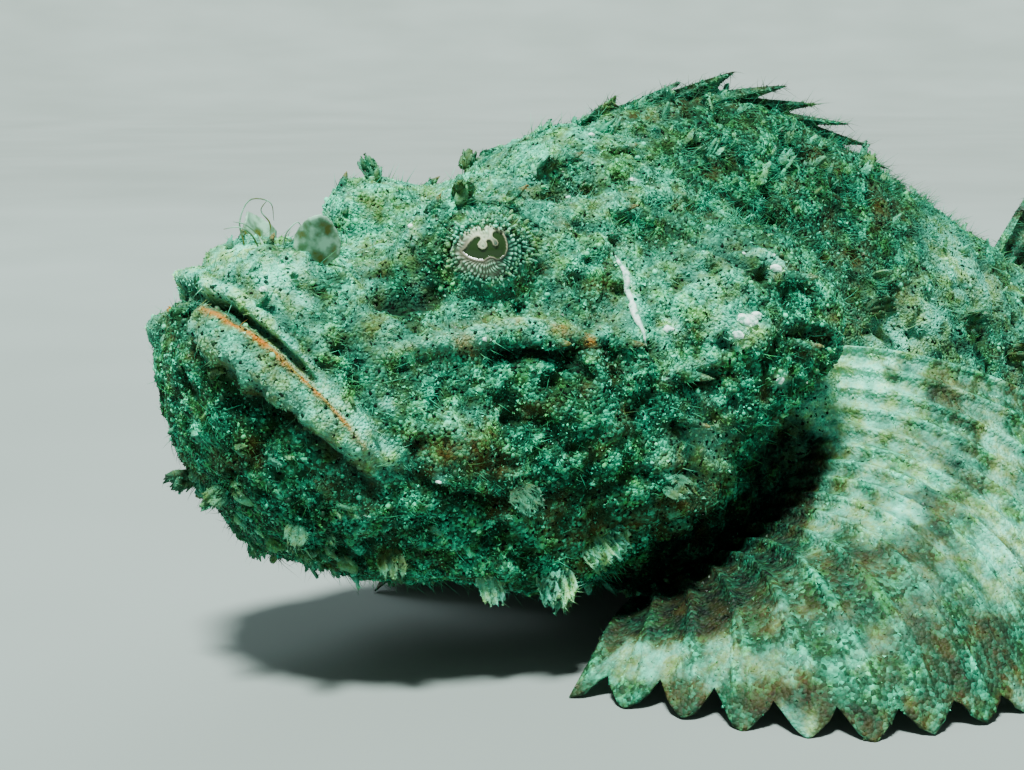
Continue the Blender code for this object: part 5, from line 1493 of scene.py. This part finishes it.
flap_objects = {}
for name, soup, look_of in (
        ("skin_flaps", flaps, fringe_skin), ("head_spines", spines, sandy_skin),
        ("eye_papillae", papillae, fringe_skin), ("weed_wisps", wisps, weed_skin),
        ("nostril_flaps", nostril, weed_skin)):
    piece = flap_objects[name] = soup_object(name, soup, look_of)
    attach(piece, "root")
    print(name, len(piece.data.polygons), "faces")

# %% [markdown]
# A few crumbs of white shell are stuck among the sand. They are flattened lumps, sunk by a third, where the
# photograph shows them, and mirrored loosely to the other side.

# %% Crumbs of shell
crumb_soup = new_soup()
CRUMBS = (  # pixels, and half length and half width in mm
    ((746, 322), 1.3, 0.8), ((756, 316), 0.7, 0.5), ((738, 334), 0.7, 0.5), ((776, 268), 0.75, 0.5),
    ((770, 258), 0.4, 0.3), ((780, 380), 0.6, 0.45), ((632, 182), 0.35, 0.25), ((668, 332), 0.7, 0.45),
    ((758, 104), 0.7, 0.4), ((698, 90), 0.5, 0.35), ((744, 250), 0.4, 0.25), ((566, 190), 0.4, 0.3),
    ((438, 482), 0.4, 0.2), ((484, 336), 0.5, 0.3), ((264, 290), 0.5, 0.35), ((412, 228), 0.4, 0.3),
    ((590, 136), 0.5, 0.3),
)
FLAKE_POINTS = 24
FLAKE = (  # pixels along the long splinter
    (615, 256), (621, 272), (627, 290), (633, 310), (639, 328), (643, 344),
)
ball = bmesh.new()
bmesh.ops.create_icosphere(ball, subdivisions=3, radius=1)
ball_points = np.array([v.co for v in ball.verts])
ball_faces = [tuple(v.index for v in f.verts) for f in ball.faces]
ball.free()
for pixels, length, width in CRUMBS:
    for side_sign in (-1, 1):
        found = seen((pixels, (pixels[0] + 1, pixels[1])))
        if not len(found):
            continue
        shift = 0 if side_sign < 0 else np.array([draw.uniform(-3, 3), 0, draw.uniform(-3, 3)])
        here, outward, corner = rooted(found[0] * (1, -side_sign, 1) + shift)
        lengthwise = unit(np.cross(outward, (0.2, 0, 1)))
        over = np.cross(outward, lengthwise)
        wobble = np.array([noise.fractal(Vector(p) * 1.4 + Vector(found[0]), 1.0, 2.0, 2) for p in ball_points])
        lump = ball_points * (1 + 0.35 * wobble[:, None]) * (length, width, 0.3 * (length + width) / 2 + 0.12)
        points = here + outward * 0.1 + lump[:, :1] * lengthwise + lump[:, 1:2] * over + lump[:, 2:] * outward
        gather(crumb_soup, corner, points, ball_faces, ball_points[:, :2], relief=0.5, grainy=0.3, fuzzy=0.2)

# the long curved splinter lies on the left side only
found = seen(FLAKE)
line = np.array([found[int(k)] for k in np.linspace(0, len(found) - 1, FLAKE_POINTS)])
spots_here = [rooted(p) for p in line]
line = np.array([here + outward * 0.2 for here, outward, _ in spots_here])
line[1:-1] = (line[:-2] + line[1:-1] + line[2:]) / 3
radii = np.interp(np.linspace(0, 1, FLAKE_POINTS), (0, 0.25, 0.5, 0.7, 1), (0.08, 0.42, 0.3, 0.5, 0.1))
radii = radii * [draw.uniform(0.75, 1.2) for _ in range(FLAKE_POINTS)]
tube(crumb_soup, line, radii, spots_here[FLAKE_POINTS // 2][2], 10)

# Broken sea shell, worn by sand: chalky white, a little dirty in its hollows.
shell_crumb, tree, shader = material("worn_shell_crumb", 0.3)
place = add(tree, "ShaderNodeTexCoord").outputs["Object"]
cloud = add(tree, "ShaderNodeTexNoise", {"Vector": place, "Scale": 1500.0, "Detail": 4.0}).outputs[0]
colour = add(tree, "ShaderNodeValToRGB", {"Fac": cloud}, stops=(
    (0.38, "#4f9c80"), (0.47, "#b8f5de"), (0.62, "#f2fffa"))).outputs["Color"]
finish(tree, shader, colour, 0.6, cloud)
crumbs_of_shell = soup_object("shell_crumbs", crumb_soup, shell_crumb)
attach(crumbs_of_shell, "root")
print("crumbs of shell:", len(CRUMBS), "on each side")

# %% [markdown]
# ## A coat of sand and weed
# Sand grains stick to the slime and short weed grows between them. Both repeat over a surface, so Geometry
# Nodes scatter them: points on the skin as dense as its stored field says, on each a small shape of few
# faces with its own size, turn and random number, realised so that the export keeps them. Every grain and
# every filament gets a small patch of the map named OFBake at its root's place on the unrolled body.

# %% What the trees share
def in_span(tree, given, clear):
    """Whether a point lies between the From and To inputs along the row's length, and clear of the floor."""
    x, _, z = add(tree, "ShaderNodeSeparateXYZ", {0: add(tree, "GeometryNodeInputPosition").outputs[0]}).outputs[:3]
    high = add(tree, "ShaderNodeMath", {0: z, 1: clear * MM}, operation="GREATER_THAN").outputs[0]
    after = add(tree, "ShaderNodeMath", {0: x, 1: given["From"]}, operation="GREATER_THAN").outputs[0]
    before = add(tree, "ShaderNodeMath", {0: x, 1: given["To"]}, operation="LESS_THAN").outputs[0]
    inside = add(tree, "ShaderNodeMath", {0: after, 1: before}, operation="MULTIPLY").outputs[0]
    return add(tree, "ShaderNodeMath", {0: inside, 1: high}, operation="MULTIPLY").outputs[0]


def scattered(tree, given, field, clear):
    """Points on the mesh as dense as Per mm2 times a stored field, and their normals."""
    value = add(tree, "GeometryNodeInputNamedAttribute", {"Name": field}, data_type="FLOAT").outputs[0]
    dense = add(tree, "ShaderNodeMath", {0: given["Per mm2"], 1: 1e6}, operation="MULTIPLY").outputs[0]
    dense = add(tree, "ShaderNodeMath", {0: dense, 1: value}, operation="MULTIPLY").outputs[0]
    made = add(tree, "GeometryNodeDistributePointsOnFaces", {
        "Mesh": given["Geometry"], "Selection": in_span(tree, given, clear), "Density": dense, "Seed": given["Seed"]})
    return made.outputs["Points"], made.outputs["Normal"]


def chance(tree, low, high, seed, kind="FLOAT"):
    """A random number or vector for each point."""
    first = {"FLOAT": 2, "FLOAT_VECTOR": 0}[kind]
    node = add(tree, "FunctionNodeRandomValue", {first: low, first + 1: high, "Seed": seed}, data_type=kind)
    return node.outputs[0 if kind == "FLOAT_VECTOR" else 1]


def stored(tree, geometry, name, value, kind="FLOAT", domain="POINT"):
    """The geometry with a value stored under a name."""
    return add(tree, "GeometryNodeStoreNamedAttribute", {"Geometry": geometry, "Name": name, "Value": value},
               data_type=kind, domain=domain).outputs[0]


def named(tree, name, kind="FLOAT_VECTOR"):
    """A stored value."""
    return add(tree, "GeometryNodeInputNamedAttribute", {"Name": name}, data_type=kind).outputs[0]


def finished_coat(tree, geometry, material):
    """Realises the small shapes, gives them their patch of the bake map and their material."""
    real = add(tree, "GeometryNodeRealizeInstances", {0: geometry}).outputs[0]
    here = add(tree, "GeometryNodeInputPosition").outputs[0]
    for limit, corner in (("MAXIMUM", LOW), ("MINIMUM", HIGH)):
        here = add(tree, "ShaderNodeVectorMath", {0: here, 1: tuple(corner * MM)}, operation=limit).outputs[0]
    real = add(tree, "GeometryNodeSetPosition", {"Geometry": real, "Position": here}).outputs[0]
    uv = add(tree, "ShaderNodeVectorMath", {0: named(tree, "unwrap"), 1: named(tree, "patch")}, operation="ADD")
    real = stored(tree, real, "OFBake", uv.outputs[0], "FLOAT2", "CORNER")
    add(tree, "NodeGroupOutput", {0: add(tree, "GeometryNodeSetMaterial", {0: real, 2: material}).outputs[0]})


def with_patch(tree, shape):
    """Stores on a small shape where each of its points lies in its patch of the map."""
    here = add(tree, "GeometryNodeInputPosition").outputs[0]
    patch = add(tree, "ShaderNodeVectorMath", {0: here, 1: (PATCH, PATCH, 0)}, operation="MULTIPLY").outputs[0]
    return stored(tree, shape, "patch", patch, "FLOAT_VECTOR")


# %% A tree for grains and one for filaments
GRAIN_CLEAR, WEED_CLEAR = 0.5, 2.4  # mm above the floor, less than which nothing grows


def grain_tree(material, name="Grains", coarse=False):
    """Grains of sand: chips of four faces, or larger rounded ones of twenty."""
    tree, given = new_tree(name, (("Per mm2", "Float"), ("Smallest", "Float"), ("Largest", "Float"),
                                  ("From", "Float"), ("To", "Float"), ("Seed", "Int")))
    points = scattered(tree, given, "grainy", GRAIN_CLEAR)[0]
    points = stored(tree, points, "shade", chance(tree, 0.0, 1.0, 5))
    pick = add(tree, "ShaderNodeMath", {0: chance(tree, 0.0, 1.0, 8), 1: 2.4}, operation="POWER").outputs[0]
    size = add(tree, "ShaderNodeMapRange", {"Value": pick, "To Min": given["Smallest"], "To Max": given["Largest"]})
    if coarse:
        shape = add(tree, "GeometryNodeMeshIcoSphere", {"Radius": 1.0, "Subdivisions": 1}).outputs[0]
    else:
        shape = add(tree, "GeometryNodeMeshCone", {
            "Vertices": 3, "Radius Top": 0.0, "Radius Bottom": 1.0, "Depth": 1.3}, fill_type="NGON").outputs[0]
    stretch = chance(tree, (0.7, 0.7, 0.5), (1.25, 1.25, 0.9), 12, "FLOAT_VECTOR")
    scale = add(tree, "ShaderNodeVectorMath", {0: stretch, "Scale": size.outputs[0]}, operation="SCALE").outputs[0]
    turn = chance(tree, (0, 0, 0), (math.tau, math.tau, math.tau), 21, "FLOAT_VECTOR")
    placed = add(tree, "GeometryNodeInstanceOnPoints", {
        "Points": points, "Instance": with_patch(tree, shape), "Rotation": turn, "Scale": scale}).outputs[0]
    finished_coat(tree, placed, material)
    return tree


def weed_tree(material, name="Filaments"):
    """Filaments that stand out of the skin and lean back over, more so towards their tips."""
    tree, given = new_tree(name, (("Per mm2", "Float"), ("Shortest", "Float"), ("Longest", "Float"),
                                  ("Thickness", "Float"), ("From", "Float"), ("To", "Float"), ("Seed", "Int")))
    points, normal = scattered(tree, given, "fuzzy", WEED_CLEAR)
    points = stored(tree, points, "shade", chance(tree, 0.0, 1.0, 5))
    pick = add(tree, "ShaderNodeMath", {0: chance(tree, 0.0, 1.0, 8), 1: 1.8}, operation="POWER").outputs[0]
    length = add(tree, "ShaderNodeMapRange", {
        "Value": pick, "To Min": given["Shortest"], "To Max": given["Longest"]}).outputs[0]
    way = chance(tree, (-0.8,) * 3, (0.8,) * 3, 31, "FLOAT_VECTOR")
    way = add(tree, "ShaderNodeVectorMath", {0: way, 1: (0.55, 0, -0.1)}, operation="ADD").outputs[0]
    stand = add(tree, "ShaderNodeVectorMath", {0: normal, 1: way}, operation="ADD").outputs[0]
    turn = add(tree, "FunctionNodeAlignRotationToVector", {"Vector": stand}, axis="Z").outputs[0]
    lean = add(tree, "ShaderNodeVectorMath", {0: way, "Scale": length}, operation="SCALE").outputs[0]
    points = stored(tree, points, "lean", lean, "FLOAT_VECTOR")
    cone = add(tree, "GeometryNodeMeshCone", {
        "Vertices": 3, "Side Segments": 2, "Radius Top": 0.0, "Radius Bottom": 1.0, "Depth": 1.0,
    }, fill_type="NGON").outputs[0]
    up = add(tree, "ShaderNodeSeparateXYZ", {0: add(tree, "GeometryNodeInputPosition").outputs[0]}).outputs[2]
    cone = stored(tree, with_patch(tree, cone), "rise", up)
    scale = add(tree, "ShaderNodeCombineXYZ", {0: given["Thickness"], 1: given["Thickness"], 2: length}).outputs[0]
    placed = add(tree, "GeometryNodeInstanceOnPoints", {
        "Points": points, "Instance": cone, "Rotation": turn, "Scale": scale}).outputs[0]
    placed = add(tree, "GeometryNodeRealizeInstances", {0: placed}).outputs[0]
    rise = named(tree, "rise", "FLOAT")
    rise = add(tree, "ShaderNodeMath", {0: rise, 1: rise}, operation="MULTIPLY").outputs[0]
    move = add(tree, "ShaderNodeVectorMath", {0: named(tree, "lean"), "Scale": rise}, operation="SCALE").outputs[0]
    placed = add(tree, "GeometryNodeSetPosition", {"Geometry": placed, "Offset": move}).outputs[0]
    finished_coat(tree, placed, material)
    return tree


print("clear of the floor: grains", GRAIN_CLEAR, "mm, filaments", WEED_CLEAR, "mm")

# %% [markdown]
# The grains take the skin's markings, and each is lighter or darker by its own number, up to the white of
# shell sand. The filaments are paler towards their tips, where slime and fine sand gather.

# %% Materials of the coat
# Broken grains of stone and shell: a dull gloss that catches the light here and there.
sand_grain, tree, shader = material("stuck_sand_grain", 0.2)
own = add(tree, "ShaderNodeAttribute", attribute_name="shade").outputs["Fac"]
own = add(tree, "ShaderNodeMath", {0: own, 1: 1.25}, operation="POWER").outputs[0]
lighter = add(tree, "ShaderNodeMapRange", {"Value": own, "To Min": -0.2, "To Max": 0.3}).outputs["Result"]
finish(tree, shader, markings(tree, lighter)[0], 0.45)

# Thin algae with slime on them: matt, and no gloss to show.
weed, tree, shader = material("short_weed_filament", 0.1)
own = add(tree, "ShaderNodeAttribute", attribute_name="shade").outputs["Fac"]
tip = add(tree, "ShaderNodeAttribute", attribute_name="rise").outputs["Fac"]
lighter = add(tree, "ShaderNodeMath", {0: own, 1: tip}, operation="MULTIPLY").outputs[0]
lighter = add(tree, "ShaderNodeMapRange", {"Value": lighter, "To Min": -0.02, "To Max": 0.28}).outputs["Result"]
finish(tree, shader, markings(tree, lighter)[0], 0.6)
print("coat materials:", sand_grain.name, "and", weed.name)

# %% Grow the coat
coat_triangles = []


def coat(host, name, tree, slot, flat=False, **values):
    """Runs a coat tree on a copy of a piece and counts what it grew. Returns its triangles."""
    copy = new_object(name, host.data.copy())
    grown = run_tree(copy, tree, values)
    if not len(grown.data.polygons):
        bpy.data.objects.remove(grown)
        return 0
    if flat:
        grown.data.shade_flat()
    else:
        grown.data.shade_smooth()
    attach(grown, "root")
    count = sum(len(p.vertices) - 2 for p in grown.data.polygons)
    coat_triangles.append(count)
    return count


fine_sand, coarse_sand = grain_tree(sand_grain), grain_tree(sand_grain, "Coarse grains", True)
weed_of_skin = weed_tree(weed)
FRONT, BACK_END = -0.3, 0.3  # m, past both ends of the fish


def sand(per, largest, seed, low=FRONT, high=BACK_END, smallest=0.1):
    """Inputs for grains: how many for each mm2, their largest and smallest radius in mm, and a belt in m."""
    return {"Per mm2": per, "Smallest": smallest * MM, "Largest": largest * MM, "From": low, "To": high, "Seed": seed}


def filaments(per, shortest, longest, thickness, seed, low=FRONT, high=BACK_END):
    """Inputs for filaments: how many for each mm2, their sizes in mm, and a belt in m."""
    return {"Per mm2": per, "Shortest": shortest * MM, "Longest": longest * MM, "Thickness": thickness * MM,
            "From": low, "To": high, "Seed": seed}


SAND_BELTS = (  # where each belt begins and ends, and its grains for each mm2: densest on the head
    (FRONT, -0.083, 8.0), (-0.083, -0.065, 8.0), (-0.065, -0.046, 7.0), (-0.046, -0.022, 5.0), (-0.022, BACK_END, 3.0),
)
WEED_BELTS = ((FRONT, -0.05), (-0.05, BACK_END))
for number, (low, high, per) in enumerate(SAND_BELTS):
    count = coat(skin, f"sand_coat_{number}", fine_sand, "skin", True, **sand(per, 0.34, 3 + number, low, high))
    print("sand belt", number, count, "triangles")
print("coarse sand", coat(skin, "coarse_sand", coarse_sand, "skin", **sand(0.2, 0.5, 9, smallest=0.2)), "triangles")
for number, (low, high) in enumerate(WEED_BELTS):
    count = coat(skin, f"weed_coat_{number}", weed_of_skin, "skin",
                 **filaments(4.6, 0.3, 1.8, 0.06, 13 + number, low, high))
    print("weed belt", number, count, "triangles")
for host in lid_objects + [flap_objects["skin_flaps"], flap_objects["head_spines"]]:
    per = 4.5 if "flap" in host.name else 12.0
    count = coat(host, f"sand_on_{host.name}", fine_sand, "skin", True, **sand(per, 0.3, 50))
    more = coat(host, f"weed_on_{host.name}", weed_of_skin, "skin", **filaments(2.4, 0.2, 0.8, 0.045, 51))
    print(host.name, count, "of sand and", more, "of weed")
for name, fin in fin_objects.items():
    per, weeds = 5.0 if "dorsal" in name else 2.2, 6.0 if "spiny" in name else 3.0 if "dorsal" in name else 0.6
    count = coat(fin, f"sand_on_{name}", fine_sand, "fins", True, **sand(per, 0.34, 40))
    more = coat(fin, f"weed_on_{name}", weed_of_skin, "fins",
                **filaments(weeds, 0.3, 1.7 if "spiny" in name else 1.2, 0.05, 41))
    print(name, count, "of sand and", more, "of weed")
print("coat:", sum(coat_triangles), "triangles, largest piece", max(coat_triangles))
